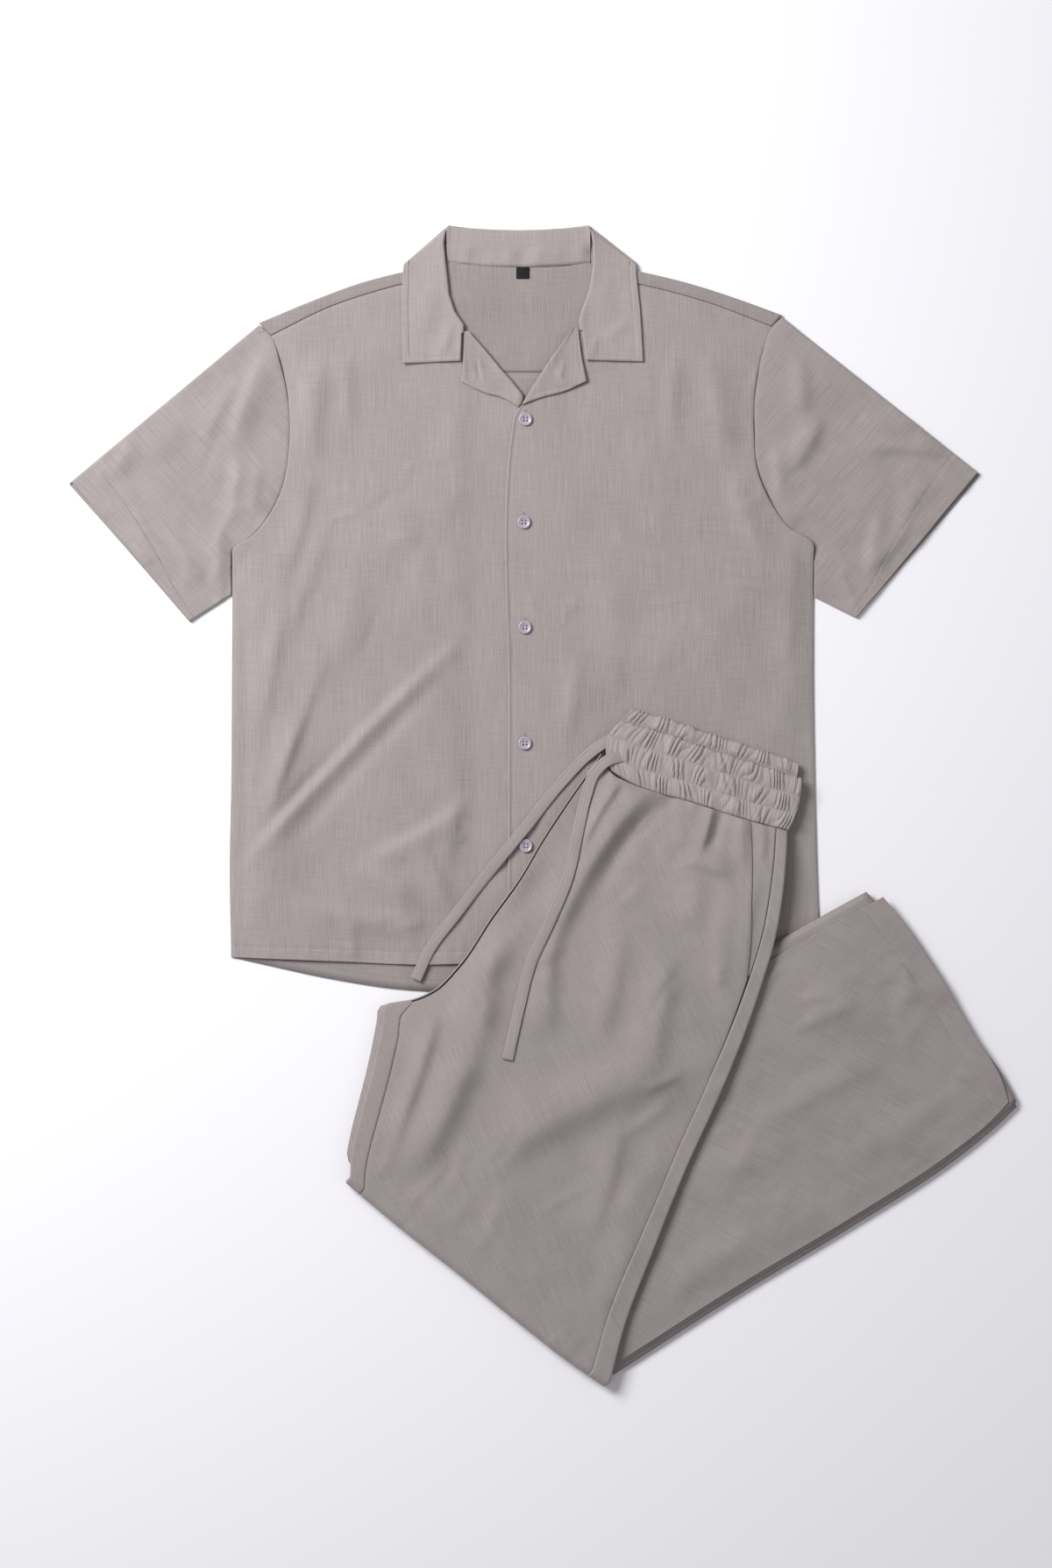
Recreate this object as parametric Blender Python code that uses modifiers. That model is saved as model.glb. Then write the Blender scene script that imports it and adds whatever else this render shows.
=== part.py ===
"""Linen shirt and trousers set, laid flat: a short-sleeved camp-collar shirt on its back, with
drawstring trousers folded in half and at the knee, their waist lying on the shirt's lower front.

Millimetres in the tables, metres in the meshes, +Z up. The origin is on the surface that the set
lies on, below the middle of the set's outline. Left and right in names are the wearer's: the
shirt faces up, so the wearer's left is at +X.
"""
import math

import bmesh
import bpy
import numpy as np

MM = 0.001
ORIGIN = (1.4, -0.3)  # middle of the set's outline, in the tables' frame
WALL = 1.0            # cloth, as a wall
GAP = 0.4             # between pieces that meet at a seam or lie on each other
SEAM_HEIGHT = 2.4     # top of the fronts where they are sewn to the back
BODY_HEIGHT = 4.0     # top of the fronts, sleeves and shoulders where nothing lifts them
PLACKET_UNDER = 3.2   # top of the right front under the left one's placket
PLACKET_OVER = 5.0    # top of the left front's placket
NECK_LIFT = 1.4       # of the yoke at the back neck, by the collar under it
LEAF_HEIGHT = 5.4     # middle of the collar's leaves where they lie on the shoulders
ROLL_RISE = 1.5       # of the leaves at the roll line
STAND_HEIGHT = 4.1    # middle of the collar's stand at its fold at the back neck
FALL_HEIGHT = 0.5     # middle of the collar where it lies under the back neck
SHIRT_HEIGHT = 5.4    # what the trousers lie on, where they lie on the shirt
BUTTON_WIDTH = 13.0
BUTTON_DEPTH = 2.4
HOLE_RADIUS = 0.9     # of each of a button's four holes
HOLE_OFFSET = 1.6     # of the holes from a button's middle, each way
LABEL_PLACE = (-18.3, 515.5)
LABEL_SIZE = (12.5, 11.3)
FRONT_SWELL = 2.2     # of the fronts over the air that the cloth holds under them
COLLAR_BEND = 1.6     # radius of the collar's fold
SLEEVE_SEAM_OUT = 1.9  # how far a sleeve's seam lies outside the armhole, by its own thickness
TIE_WIDTH = 12.0      # drawstring, a flat cloth tie
TIE_DEPTH = 1.6
BAND_DEPTH = 2.4      # waistband, two layers of cloth over elastic
GATHERS = 36          # along the waistband's front
GATHER_HEIGHT = 0.45  # of the gathers, up and down, on the front
BACK_GATHER_HEIGHT = 0.35
TIE_LIFT = 0.3        # of a tie above the gap to what it lies on
TIE_RIGHT_START = 11.2  # height of the right tie where it leaves the waistband's end
TIE_LEFT_START = 15.6   # height of the left tie on the waistband
LAYERS_HEIGHT = 3.0   # the right leg's layers, hidden under the left leg
LEG_HEIGHT = 4.2      # the left leg, flattened, edge to edge
LAYERS_GAP = 0.6      # between the hidden layers and the leg on them
LAYERS_OUT = 5.0      # how far they come out past its inseam, below the crotch
LOWER_HEIGHT = 8.5    # the lower legs, folded under, with all their layers
LOWER_RIM_DROP = 1.0  # of their top layer at its edges
KNEE_RADIUS = 8.0     # the roll of cloth at the knee fold
KNEE_REST = (0.2, 0.3)  # the roll's lowest edge: a share of its middle's height, and more
LOWER_RUN = (0.884, 0.467)  # direction of the lower legs, from the knee to the hem
KNEE_LINE = ((-188.3, -367.2), (61.2, -564.3))

COLLECTION = "shirt_and_trousers_set"
LINEN = (0.392, 0.345, 0.335)
BUTTON_COLOR = (0.402, 0.352, 0.428)
LABEL_COLOR = (0.012, 0.012, 0.014)

# Seams and edges of the shirt, seen from above, in order along the cloth.
SIDE_RIGHT = [(-301.5, -147.8), (-303.0, -60.0), (-301.6, 15.8), (-300.8, 134.8), (-300.4, 204.2),
              (-300.2, 238.0), (-299.9, 248.7)]
ARMHOLE_RIGHT = [(-299.9, 248.7), (-283.9, 259.2), (-265.0, 281.0), (-254.3, 301.5),
                 (-245.0, 350.0), (-246.5, 395.0), (-254.0, 430.0), (-262.7, 455.7)]
YOKE_SEAM_RIGHT = [(-262.7, 455.7), (-204.1, 484.3), (-163.1, 498.1), (-135.3, 505.7),
                   (-101.0, 512.0)]
SHOULDER_RIGHT = [(-274.5, 468.4), (-225.0, 489.0), (-175.0, 507.5), (-131.0, 518.5),
                  (-101.0, 524.0)]
SIDE_LEFT = [(271.0, -147.4), (269.0, -105.8), (265.3, 15.8), (263.6, 134.8), (263.8, 202.1),
             (264.0, 241.0), (263.9, 253.0)]
ARMHOLE_LEFT = [(263.9, 253.0), (239.6, 270.0), (222.8, 293.1), (210.1, 322.7), (205.8, 365.2),
                (207.9, 407.2), (214.5, 440.0), (223.7, 464.6)]
YOKE_SEAM_LEFT = [(223.7, 464.6), (155.0, 490.0), (93.0, 505.7), (57.0, 512.0)]
SHOULDER_LEFT = [(233.3, 475.9), (185.0, 493.5), (135.0, 509.0), (90.2, 519.0), (57.0, 524.0)]
YOKE_BACK_Y = 420.4
NECK_SEAM_Y = 523.6
ROLL_INSET = 7.0      # how far the fronts' cloth stops short of the rolled neck edge
ROLL_RIGHT = [(0.0, 362.0), (-8.5, 378.0), (-17.8, 391.5), (-26.3, 408.5), (-38.4, 422.4),
              (-57.5, 445.1), (-74.9, 464.9), (-84.4, 477.9), (-89.7, 495.3), (-92.0, 512.0)]
ROLL_LEFT = [(-29.7, 361.8), (-27.2, 377.3), (-17.8, 391.5), (1.5, 422.4), (22.2, 451.9),
             (37.8, 474.5), (46.6, 504.0), (49.0, 512.0)]
PLACKET_RIGHT_X = 0.0
PLACKET_LEFT_X = -33.0
UNDERARM_SHARE = 0.66  # of the way up a body panel, where its armhole starts
SLEEVE_CORNER_SHARE = 0.8
CUFF_RIGHT = [(-459.4, 312.1), (-400.0, 245.0), (-342.0, 177.8)]
CUFF_LEFT = [(426.1, 321.0), (366.0, 250.5), (305.2, 181.6)]
SLEEVE_SEAM_RIGHT_END = (-301.2, 204.2)
SLEEVE_SEAM_LEFT_END = (264.3, 202.1)
BUTTON_PLACES = [(-15.6, 374.5), (-17.1, 274.6), (-16.2, 172.6), (-16.2, 60.0), (-15.2, -39.5)]

# Collar, one row for each section from the front end of the right leaf round the back.
# roll is the fold line, edge the outer edge; over is 1 where the leaf lies on top of the shirt
# and 0 where it lies under the back neck; opened is 0 along the lapel's seam, which has no roll.
COLLAR_COLUMNS = ("roll_x", "roll_y", "edge_x", "edge_y", "over", "opened")
COLLAR_ROWS = [
    (-77.2, 431.1, -134.7, 428.5, 1.0, 0),
    (-76.4, 448.0, -135.3, 450.0, 1.0, 0),
    (-75.8, 466.0, -135.9, 472.8, 1.0, 1),
    (-84.4, 478.5, -136.0, 486.0, 1.0, 1),
    (-89.9, 495.3, -135.8, 499.0, 1.0, 1),
    (-93.1, 524.8, -135.2, 510.0, 1.0, 1),
    (-95.2, 545.6, -134.6, 518.5, 1.0, 1),
    (-93.6, 556.0, -133.6, 524.5, 0.9, 1),
    (-90.5, 562.5, -132.0, 526.5, 0.5, 1),
    (-88.0, 562.3, -129.5, 526.8, 0.1, 1),
    (-82.0, 561.5, -121.0, 524.0, 0.0, 1),
    (-70.0, 560.0, -98.0, 508.0, 0.0, 1),
    (-46.0, 558.5, -60.0, 502.0, 0.0, 1),
    (-21.0, 558.0, -21.0, 501.0, 0.0, 1),
    (0.0, 558.5, 15.0, 502.0, 0.0, 1),
    (24.0, 560.0, 53.0, 508.0, 0.0, 1),
    (37.0, 561.5, 79.0, 524.5, 0.0, 1),
    (43.0, 562.3, 88.0, 527.3, 0.1, 1),
    (45.5, 562.5, 90.5, 527.0, 0.5, 1),
    (48.6, 556.0, 91.4, 524.0, 0.9, 1),
    (50.0, 545.6, 91.6, 518.5, 1.0, 1),
    (50.5, 524.8, 92.6, 508.0, 1.0, 1),
    (46.6, 500.0, 94.0, 495.0, 1.0, 1),
    (38.6, 478.0, 95.5, 482.0, 1.0, 1),
    (36.6, 469.3, 96.3, 470.0, 1.0, 1),
    (39.2, 450.0, 97.5, 450.0, 1.0, 0),
    (41.0, 432.0, 98.6, 430.3, 1.0, 0),
]

# Folds of the shirt's fronts and sleeves: a line from start to end, how wide and how high.
FOLD_COLUMNS = ("start_x", "start_y", "end_x", "end_y", "width", "height")
SHIRT_FOLDS = [
    (-84.0, 152.0, -236.0, -6.0, 16.0, 5.5),
    (-66.0, 3.0, -160.0, -52.0, 13.0, 3.5),
    (-36.0, 16.0, -62.0, -36.0, 10.0, 3.0),
    (-214.0, 440.0, -222.0, 330.0, 14.0, 2.5),
    (160.0, 440.0, 176.0, 330.0, 14.0, 2.5),
    (-250.0, 120.0, -262.0, -90.0, 18.0, 3.0),
    (-150.0, -60.0, -120.0, -140.0, 14.0, 2.5),
    (150.0, 250.0, 226.0, 205.0, 16.0, 2.0),
    (60.0, 230.0, 88.0, 110.0, 20.0, 2.0),
]
SLEEVE_FOLDS = [
    (-262.0, 448.0, -299.0, 344.0, 12.0, 4.0),
    (-296.0, 340.0, -302.0, 270.0, 12.0, 3.0),
    (-398.0, 358.0, -418.0, 318.0, 10.0, 1.5),
    (270.0, 378.0, 236.0, 322.0, 12.0, 3.5),
    (312.0, 346.0, 395.0, 342.0, 12.0, 2.5),
    (332.0, 288.0, 320.0, 220.0, 12.0, 2.5),
    (358.0, 278.0, 316.0, 228.0, 10.0, 2.0),
]

# Trousers: edges of the upper leg from the waist to the knee fold, and of the lower leg.
LEG_LEFT_EDGE = [(57.5, 50.0), (27.6, 8.2), (-1.3, -35.6), (-21.2, -69.2), (-49.2, -108.3),
                 (-80.8, -154.9), (-104.6, -178.6), (-124.0, -187.5), (-143.0, -190.9),
                 (-150.0, -192.6), (-153.0, -196.5), (-153.8, -206.0), (-158.2, -230.0),
                 (-165.4, -262.0), (-173.0, -291.0), (-180.0, -318.0), (-184.4, -340.0),
                 (-185.6, -359.5)]
LEG_RIGHT_EDGE = [(238.1, -25.2), (235.6, -64.6), (224.9, -133.0), (212.8, -173.8),
                  (196.1, -222.2), (175.8, -273.2), (139.3, -353.9), (108.1, -431.9),
                  (82.1, -499.3), (66.2, -558.0)]
WAIST_SEAM = [(57.5, 50.0), (62.0, 37.5), (70.0, 29.0), (88.8, 19.9), (142.4, 3.6),
              (201.0, -15.1), (238.1, -25.2)]
KNEE_EDGE = [(-185.6, -359.5), (-135.0, -402.0), (-78.0, -447.0), (-10.0, -502.0),
             (30.0, -533.0), (66.2, -558.0)]
# Strips of the left back that show on top, and the pocket's opening, in from the leg's edges.
LEG_SEAM_COLUMNS = ("along", "inseam_strip", "side_strip", "opening")
LEG_SEAMS = [
    (0.00, 3.0, 11.0, 36.0),
    (0.14, 3.0, 12.5, 29.0),
    (0.27, 3.0, 13.5, 15.0),
    (0.45, 3.0, 16.0, 16.0),
    (0.61, 3.0, 15.2, 15.2),
    (0.667, 22.5, 15.5, 15.5),
    (0.80, 20.5, 18.0, 18.0),
    (1.00, 18.5, 21.0, 21.0),
]
CROTCH_ALONG = 0.611
POCKET_ALONG = 0.27
LEG_FOLDS = [
    (112.0, 10.0, 62.0, -70.0, 12.0, 3.0),
    (62.0, -70.0, 14.0, -122.0, 10.0, 4.0),
    (170.0, -10.0, 160.0, -56.0, 8.0, 2.0),
    (-98.0, -190.0, -142.0, -350.0, 18.0, 3.0),
    (150.0, -110.0, 90.0, -300.0, 30.0, 2.5),
    (70.0, -250.0, 0.0, -420.0, 34.0, 2.5),
]
LOWER_TOP = [(-172.0, -360.0), (30.0, -249.0), (222.8, -149.0), (290.0, -111.0), (331.0, -89.0)]
LOWER_BOTTOM = [(66.0, -546.0), (191.4, -465.7), (295.5, -403.3), (399.6, -335.7),
                (439.1, -303.4), (453.0, -288.0)]
LOWER_HEM = [(331.0, -89.0), (348.6, -110.7), (380.6, -157.0), (418.0, -220.5),
             (446.0, -266.0), (453.0, -288.0)]
LOWER_KNEE = [(-172.0, -360.0), (-125.0, -398.0), (-64.0, -446.0), (4.0, -499.0), (66.0, -546.0)]
# How far each layer under the lower leg's top one comes out: upper edge, lower edge, hem.
LAYER_SPREADS = {"trouser_right_back": (5.0, 6.0, 2.0), "trouser_lower_layers": (12.0, 13.0, 4.0)}

WAISTBAND_TOP = [(76.0, 82.0), (116.0, 71.0), (168.0, 53.0), (225.4, 34.5), (251.4, 25.6)]
WAISTBAND_BOTTOM = [(67.8, 33.5), (88.8, 21.0), (142.4, 4.6), (201.0, -14.1), (239.0, -24.2)]
WAISTBAND_SHIFT = (4.0, 13.5)         # how far the back waistband lies past the front one
TIE_RIGHT_ROUTE = [(56.0, 57.5), (46.0, 49.8), (18.8, 21.8), (-15.2, -20.8), (-49.2, -62.4),
                   (-83.2, -105.8), (-108.7, -139.8), (-122.3, -169.5)]
TIE_LEFT_ROUTE = [(81.0, 47.6), (64.7, 43.7), (51.1, 31.1), (43.5, 10.7), (35.8, -22.5),
                  (25.6, -68.4), (6.1, -116.0), (-11.0, -154.2), (-22.0, -196.7),
                  (-33.1, -246.0)]


def columns(table, names):
    """A table's columns as arrays, by name."""
    return dict(zip(names, np.array(table, dtype=float).T))


def smooth(value, start, end):
    """Rises from 0 at start to 1 at end with level ends."""
    part = np.clip((value - start) / (end - start), 0.0, 1.0)
    return part * part * (3.0 - 2.0 * part)


def curve(points, corner=None, share_at_corner=None):
    """Smooth curve through all the points, read by its share of the length, 0 to 1.

    The point numbered corner, where there is one, is read at its own fixed share.
    """
    nodes = np.array(points, dtype=float)
    steps = np.linalg.norm(np.diff(nodes[:, :2], axis=0), axis=1)
    at = np.concatenate([[0.0], np.cumsum(steps)])
    at /= at[-1]
    if corner is not None:
        at = np.interp(at, [0.0, at[corner], 1.0], [0.0, share_at_corner, 1.0])
    slope = np.gradient(nodes, at, axis=0)

    def read(share):
        share = np.clip(np.asarray(share, dtype=float), 0.0, 1.0)
        low = np.clip(np.searchsorted(at, share, side="right") - 1, 0, len(at) - 2)
        step = (at[low + 1] - at[low])[..., None]
        part = (share[..., None] - at[low][..., None]) / step
        keep = 2 * part**3 - 3 * part**2 + 1
        return (keep * nodes[low] + (1 - keep) * nodes[low + 1]
                + (part**3 - 2 * part**2 + part) * step * slope[low]
                + (part**3 - part**2) * step * slope[low + 1])
    return read


def patch(bottom, top, left, right):
    """Surface between four edges: places (across, along) from bottom to top, left to right.

    An edge is a list of points, or a curve already made from one.
    """
    edges = [edge if callable(edge) else curve(edge) for edge in (bottom, top, left, right)]
    corners = [edges[0](0.0), edges[0](1.0), edges[1](0.0), edges[1](1.0)]

    def place(across, along):
        across, along = np.broadcast_arrays(np.asarray(across, float), np.asarray(along, float))
        u = across[..., None]
        v = along[..., None]
        spread = (1 - v) * edges[0](across) + v * edges[1](across)
        spread = spread + (1 - u) * edges[2](along) + u * edges[3](along)
        spread = spread - (1 - u) * (1 - v) * corners[0] - u * (1 - v) * corners[1]
        spread = spread - (1 - u) * v * corners[2] - u * v * corners[3]
        return spread[..., 0], spread[..., 1]
    return place


def mesh_grid(across, along):
    """Shares from 0 to 1 on a grid, as two arrays."""
    return np.meshgrid(np.linspace(0, 1, across), np.linspace(0, 1, along))


def split_shares(middle, before, after):
    """Shares from 0 to 1 with one exactly at middle, and so many on each side of it."""
    return np.concatenate([np.linspace(0, middle, before)[:-1], np.linspace(middle, 1, after)])


def folds(x, y, table):
    """Height of all the folds in a table: a bell across each line, fading to its two ends."""
    height = np.zeros_like(x)
    for row in table:
        fold = dict(zip(FOLD_COLUMNS, row))
        run = np.array([fold["end_x"] - fold["start_x"], fold["end_y"] - fold["start_y"]])
        length = np.linalg.norm(run)
        run = run / length
        along = (x - fold["start_x"]) * run[0] + (y - fold["start_y"]) * run[1]
        aside = (y - fold["start_y"]) * run[0] - (x - fold["start_x"]) * run[1]
        fade = smooth(along, -0.1 * length, 0.35 * length)
        fade = fade * (1 - smooth(along, 0.65 * length, 1.1 * length))
        height += fold["height"] * fade * np.exp(-(aside / fold["width"]) ** 2)
    return height


def beside_line(x, y, start, end):
    """Distance from a line, positive on its left, looking from start to end."""
    run = np.array(end) - np.array(start)
    run = run / np.linalg.norm(run)
    return (y - start[1]) * run[0] - (x - start[0]) * run[1]


def clear_of_trousers(x, y):
    """0 where the trousers press the shirt flat, 1 where they are well away."""
    beside_fly = beside_line(x, y, (-125.0, -190.0), (60.0, 55.0))
    above_waist = beside_line(x, y, (72.0, 103.0), (255.0, 38.0))
    return smooth(np.maximum(beside_fly, above_waist), 4.0, 50.0)


def front_top(x, y, over):
    """Top of a front: low at the side seams, a soft swell and folds between, level plackets."""
    inside = smooth(x, -304.0, -272.0) * (1 - smooth(x, 238.0, 266.0))
    inside = np.maximum(inside, smooth(y, 215.0, 262.0))
    height = SEAM_HEIGHT + (BODY_HEIGHT - SEAM_HEIGHT) * inside
    free = clear_of_trousers(x, y) * inside
    swell = smooth(y, -152.0, -90.0) * (1 - smooth(y, 300.0, 420.0))
    height = height + free * (FRONT_SWELL * swell + folds(x, y, SHIRT_FOLDS) * (1 - smooth(y, 425, 450)))
    if over:
        level = 1 - smooth(x, 0.0, 40.0)
        return height * (1 - level) + PLACKET_OVER * level
    level = smooth(x, -92.0, -62.0)
    return height * (1 - level) + PLACKET_UNDER * level


def ground(x, y):
    """What the trousers lie on: the shirt, and past its hem and side the surface itself."""
    return SHIRT_HEIGHT * smooth(y, -310.0, -192.0) * (1 - smooth(x, 280.0, 370.0))


def lower_top(x, y):
    """Top of the lower legs."""
    return ground(x, y) + LOWER_HEIGHT


def leg_bottom(x, y):
    """Underside of the left leg: over its hidden layers, and over the lower legs near the knee."""
    inside = -beside_line(x, y, (-186.0, -361.6), (328.9, -89.0))
    step = (LOWER_HEIGHT + 2 * GAP) * smooth(inside, -170.0, -24.0)
    return ground(x, y) + step + LAYERS_HEIGHT + LAYERS_GAP


def leg_top(x, y):
    """Top of the left leg, with its folds."""
    return leg_bottom(x, y) + LEG_HEIGHT + folds(x, y, LEG_FOLDS)


def place_at(x, y, z):
    """A place in the tables' millimetres, in metres from the set's origin."""
    return ((x - ORIGIN[0]) * MM, (y - ORIGIN[1]) * MM, z * MM)


def material(name, color, roughness):
    """Principled material with one colour, made once."""
    made = bpy.data.materials.get(name)
    if made is None:
        made = bpy.data.materials.new(name)
        made.use_nodes = True
        shader = made.node_tree.nodes["Principled BSDF"]
        shader.inputs["Base Color"].default_value = (*color, 1.0)
        shader.inputs["Roughness"].default_value = roughness
        shader.inputs["Metallic"].default_value = 0.0
    return made


def add_object(name, mesh, color=LINEN, roughness=0.9):
    """Puts a mesh in the set's collection under its own name and material."""
    piece = bpy.data.objects.new(name, mesh)
    bpy.data.collections[COLLECTION].objects.link(piece)
    piece.data.materials.append(material(name, color, roughness))
    piece.data.shade_smooth()
    return piece


def sheet(name, x, y, z, depth=WALL, side=-1.0, keep=None, **finish):
    """A cloth wall: a grid moved onto (x, y, z), less the cells not kept, with a depth on one side.

    side is -1 for a wall below the grid's upward face, 1 above it and 0 on both sides.
    """
    high, wide = x.shape
    work = bmesh.new()
    bmesh.ops.create_grid(work, x_segments=wide - 1, y_segments=high - 1, size=1.0)
    for vertex in work.verts:
        column = round((vertex.co.x + 1) / 2 * (wide - 1))
        row = round((vertex.co.y + 1) / 2 * (high - 1))
        vertex.index = row * wide + column
        vertex.co = place_at(x[row, column], y[row, column], z[row, column])
    if keep is not None:
        dropped = []
        for face in work.faces:
            corner = min(vertex.index for vertex in face.verts)
            if not keep[corner // wide, corner % wide]:
                dropped.append(face)
        bmesh.ops.delete(work, geom=dropped, context="FACES")
    mesh = bpy.data.meshes.new(name)
    work.to_mesh(mesh)
    work.free()
    piece = add_object(name, mesh, **finish)
    wall = piece.modifiers.new("wall", "SOLIDIFY")
    wall.thickness = depth * MM
    wall.offset = side
    return piece


def rounded(piece, width):
    """Rounds the rim of a slab."""
    bevel = piece.modifiers.new("rim", "BEVEL")
    bevel.width = width * MM
    bevel.segments = 2
    bevel.limit_method = "ANGLE"
    bevel.angle_limit = math.radians(50)
    return piece


def tube(name, place, bottom, top, upper, side, along=8):
    """A flattened open tube: its outer skin runs along the top, round an edge and back below."""
    radius = LEG_HEIGHT / 2
    across = len(upper)
    share_v = np.linspace(0, 1, along)[:, None]
    length = np.hypot(*(np.array(place(1.0, share_v)) - np.array(place(0.0, share_v))))
    inset = radius / length
    turn = np.array([150.0, 180.0, 210.0])
    near = inset * (1 + np.cos(np.radians(turn)))
    share_top = inset + (1 - 2 * inset) * upper
    share_far = 1 - near[:, ::-1]
    share_u = np.concatenate([share_top, share_far, share_top[:, ::-1], near[:, ::-1]], axis=1)
    x, y = place(share_u, share_v + 0 * share_u)
    lift = np.concatenate([np.ones(across), (0.75, 0.5, 0.25), np.zeros(across),
                           (0.25, 0.5, 0.75)])
    z = bottom(x, y) + lift * (top(x, y) - bottom(x, y))
    x, y, z = (np.concatenate([part, part[:, :1]], axis=1) for part in (x, y, z))
    piece = sheet(name, x, y, z, side=side)
    work = bmesh.new()
    work.from_mesh(piece.data)
    bmesh.ops.remove_doubles(work, verts=work.verts, dist=0.00001)
    work.to_mesh(piece.data)
    work.free()
    return piece


def make_back():
    """Shirt back, flat on the surface, from the yoke's seam to the curved hem."""
    hem = [(-301.5, -147.8), (-262.6, -156.6), (-211.9, -167.5), (-150.0, -177.5), (-18.6, -182.0),
           (120.0, -177.5), (180.0, -168.0), (232.0, -156.0), (271.0, -147.4)]
    left = SIDE_RIGHT + ARMHOLE_RIGHT[1:-2] + [(-251.0, YOKE_BACK_Y)]
    right = SIDE_LEFT + ARMHOLE_LEFT[1:-2] + [(209.5, YOKE_BACK_Y)]
    top = [left[-1], (-100.0, YOKE_BACK_Y), (60.0, YOKE_BACK_Y), right[-1]]
    left = curve(left, len(SIDE_RIGHT) - 1, UNDERARM_SHARE)
    right = curve(right, len(SIDE_LEFT) - 1, UNDERARM_SHARE)
    rows = split_shares(UNDERARM_SHARE, 6, 9)
    x, y = patch(hem, top, left, right)(*np.meshgrid(np.linspace(0, 1, 10), rows))
    sheet("shirt_back", x, y, np.zeros_like(x), side=1.0)


def front_edge(placket_x, hem_y, roll):
    """Front edge of a front: the placket, then the roll line, inset under the collar."""
    points = [(placket_x, hem_y), (placket_x, 100.0)] + roll
    inset = []
    for x, y in points:
        step = ROLL_INSET * float(smooth(y, 392.0, 440.0))
        inset.append((x - step if roll is ROLL_RIGHT else x + step, y))
    return inset


def make_fronts():
    """The two fronts, the left one lapped over the right at the placket."""
    edge = front_edge(PLACKET_RIGHT_X, -152.4, ROLL_RIGHT)
    left = curve(SIDE_RIGHT + ARMHOLE_RIGHT[1:], len(SIDE_RIGHT) - 1, UNDERARM_SHARE)
    top = YOKE_SEAM_RIGHT[:-1] + [edge[-1]]
    hem = [SIDE_RIGHT[0], (-203.5, -151.6), (-119.4, -154.9), (-60.0, -153.8), edge[0]]
    shares = np.meshgrid(np.linspace(0, 1, 13), split_shares(UNDERARM_SHARE, 13, 9))
    x, y = patch(hem, top, left, edge)(*shares)
    sheet("shirt_front_right", x, y, front_top(x, y, over=False))

    edge = front_edge(PLACKET_LEFT_X, -152.4, ROLL_LEFT)
    right = curve(SIDE_LEFT + ARMHOLE_LEFT[1:], len(SIDE_LEFT) - 1, UNDERARM_SHARE)
    top = [edge[-1]] + YOKE_SEAM_LEFT[-2::-1]
    hem = [edge[0], (30.0, -153.8), (90.0, -154.9), (180.0, -151.6), SIDE_LEFT[0]]
    x, y = patch(hem, top, edge, right)(*shares)
    sheet("shirt_front_left", x, y, front_top(x, y, over=True))


def neck_lift(x, y):
    """How far the back neck is lifted by the collar that lies under it."""
    beside = smooth(x, -165.0, -140.0) * (1 - smooth(x, 98.0, 123.0))
    return NECK_LIFT * beside * smooth(y, 470.0, 496.0)


def make_yoke():
    """Yoke, one piece: flat at the back, folded forward over each shoulder, open at the neck."""
    radius = BODY_HEIGHT / 2
    shoulder = SHOULDER_RIGHT + [(-95.0, NECK_SEAM_Y + 0.2), (-60.0, NECK_SEAM_Y),
                                 (20.0, NECK_SEAM_Y), (51.0, NECK_SEAM_Y + 0.2)]
    shoulder += SHOULDER_LEFT[::-1]
    seam_y = YOKE_BACK_Y + GAP
    seam = [(-250.5, seam_y), (-100.0, seam_y), (60.0, seam_y), (209.0, seam_y)]
    place = patch(seam, shoulder, [seam[0], (-256.0, 440.0), shoulder[0]],
                  [seam[-1], (214.5, 440.0), shoulder[-1]])
    share = np.linspace(0, 1, 27)
    fold_x, fold_y = place(share, np.ones_like(share))
    front_right = curve([(x, y + GAP) for x, y in YOKE_SEAM_RIGHT])
    front_left = curve([(x, y + GAP) for x, y in YOKE_SEAM_LEFT[::-1]])
    on_right = fold_x < YOKE_SEAM_RIGHT[-1][0] + 0.5
    on_left = fold_x > YOKE_SEAM_LEFT[-1][0] - 0.5
    share_right = (fold_x - fold_x[0]) / (YOKE_SEAM_RIGHT[-1][0] - fold_x[0])
    share_left = (fold_x - YOKE_SEAM_LEFT[-1][0]) / (fold_x[-1] - YOKE_SEAM_LEFT[-1][0])
    front = np.where(on_right[:, None], front_right(share_right), front_left(share_left))
    out = np.stack([fold_x, fold_y], axis=1) - front
    out /= np.linalg.norm(out, axis=1)[:, None]

    rows = []
    flat = np.linspace(0, 1, 6)
    for part in flat:
        x, y = place(share, np.full_like(share, part))
        rows.append((x - out[:, 0] * radius * part, y - out[:, 1] * radius * part,
                     neck_lift(x, y)))
    base = neck_lift(fold_x, fold_y)
    thick = BODY_HEIGHT + (LEAF_HEIGHT - WALL - BODY_HEIGHT) * base / NECK_LIFT - base
    for angle in (-45.0, 0.0, 45.0, 90.0):
        turn = math.radians(angle)
        reach = radius * (math.cos(turn) - 1)
        rows.append((fold_x + out[:, 0] * reach, fold_y + out[:, 1] * reach,
                     base + thick * (1 + math.sin(turn)) / 2))
    for part in (0.5, 1.0):
        rows.append((fold_x + (front[:, 0] - fold_x) * part - out[:, 0] * radius * (1 - part),
                     fold_y + (front[:, 1] - fold_y) * part - out[:, 1] * radius * (1 - part),
                     base + thick))
    x, y, z = (np.array([row[axis] for row in rows]) for axis in range(3))
    folded = on_right | on_left
    keep = np.ones(x.shape, dtype=bool)
    keep[len(flat) - 1:] = folded & np.roll(folded, -1)
    sheet("shirt_yoke", x, y, z, side=1.0, keep=keep)


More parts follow.
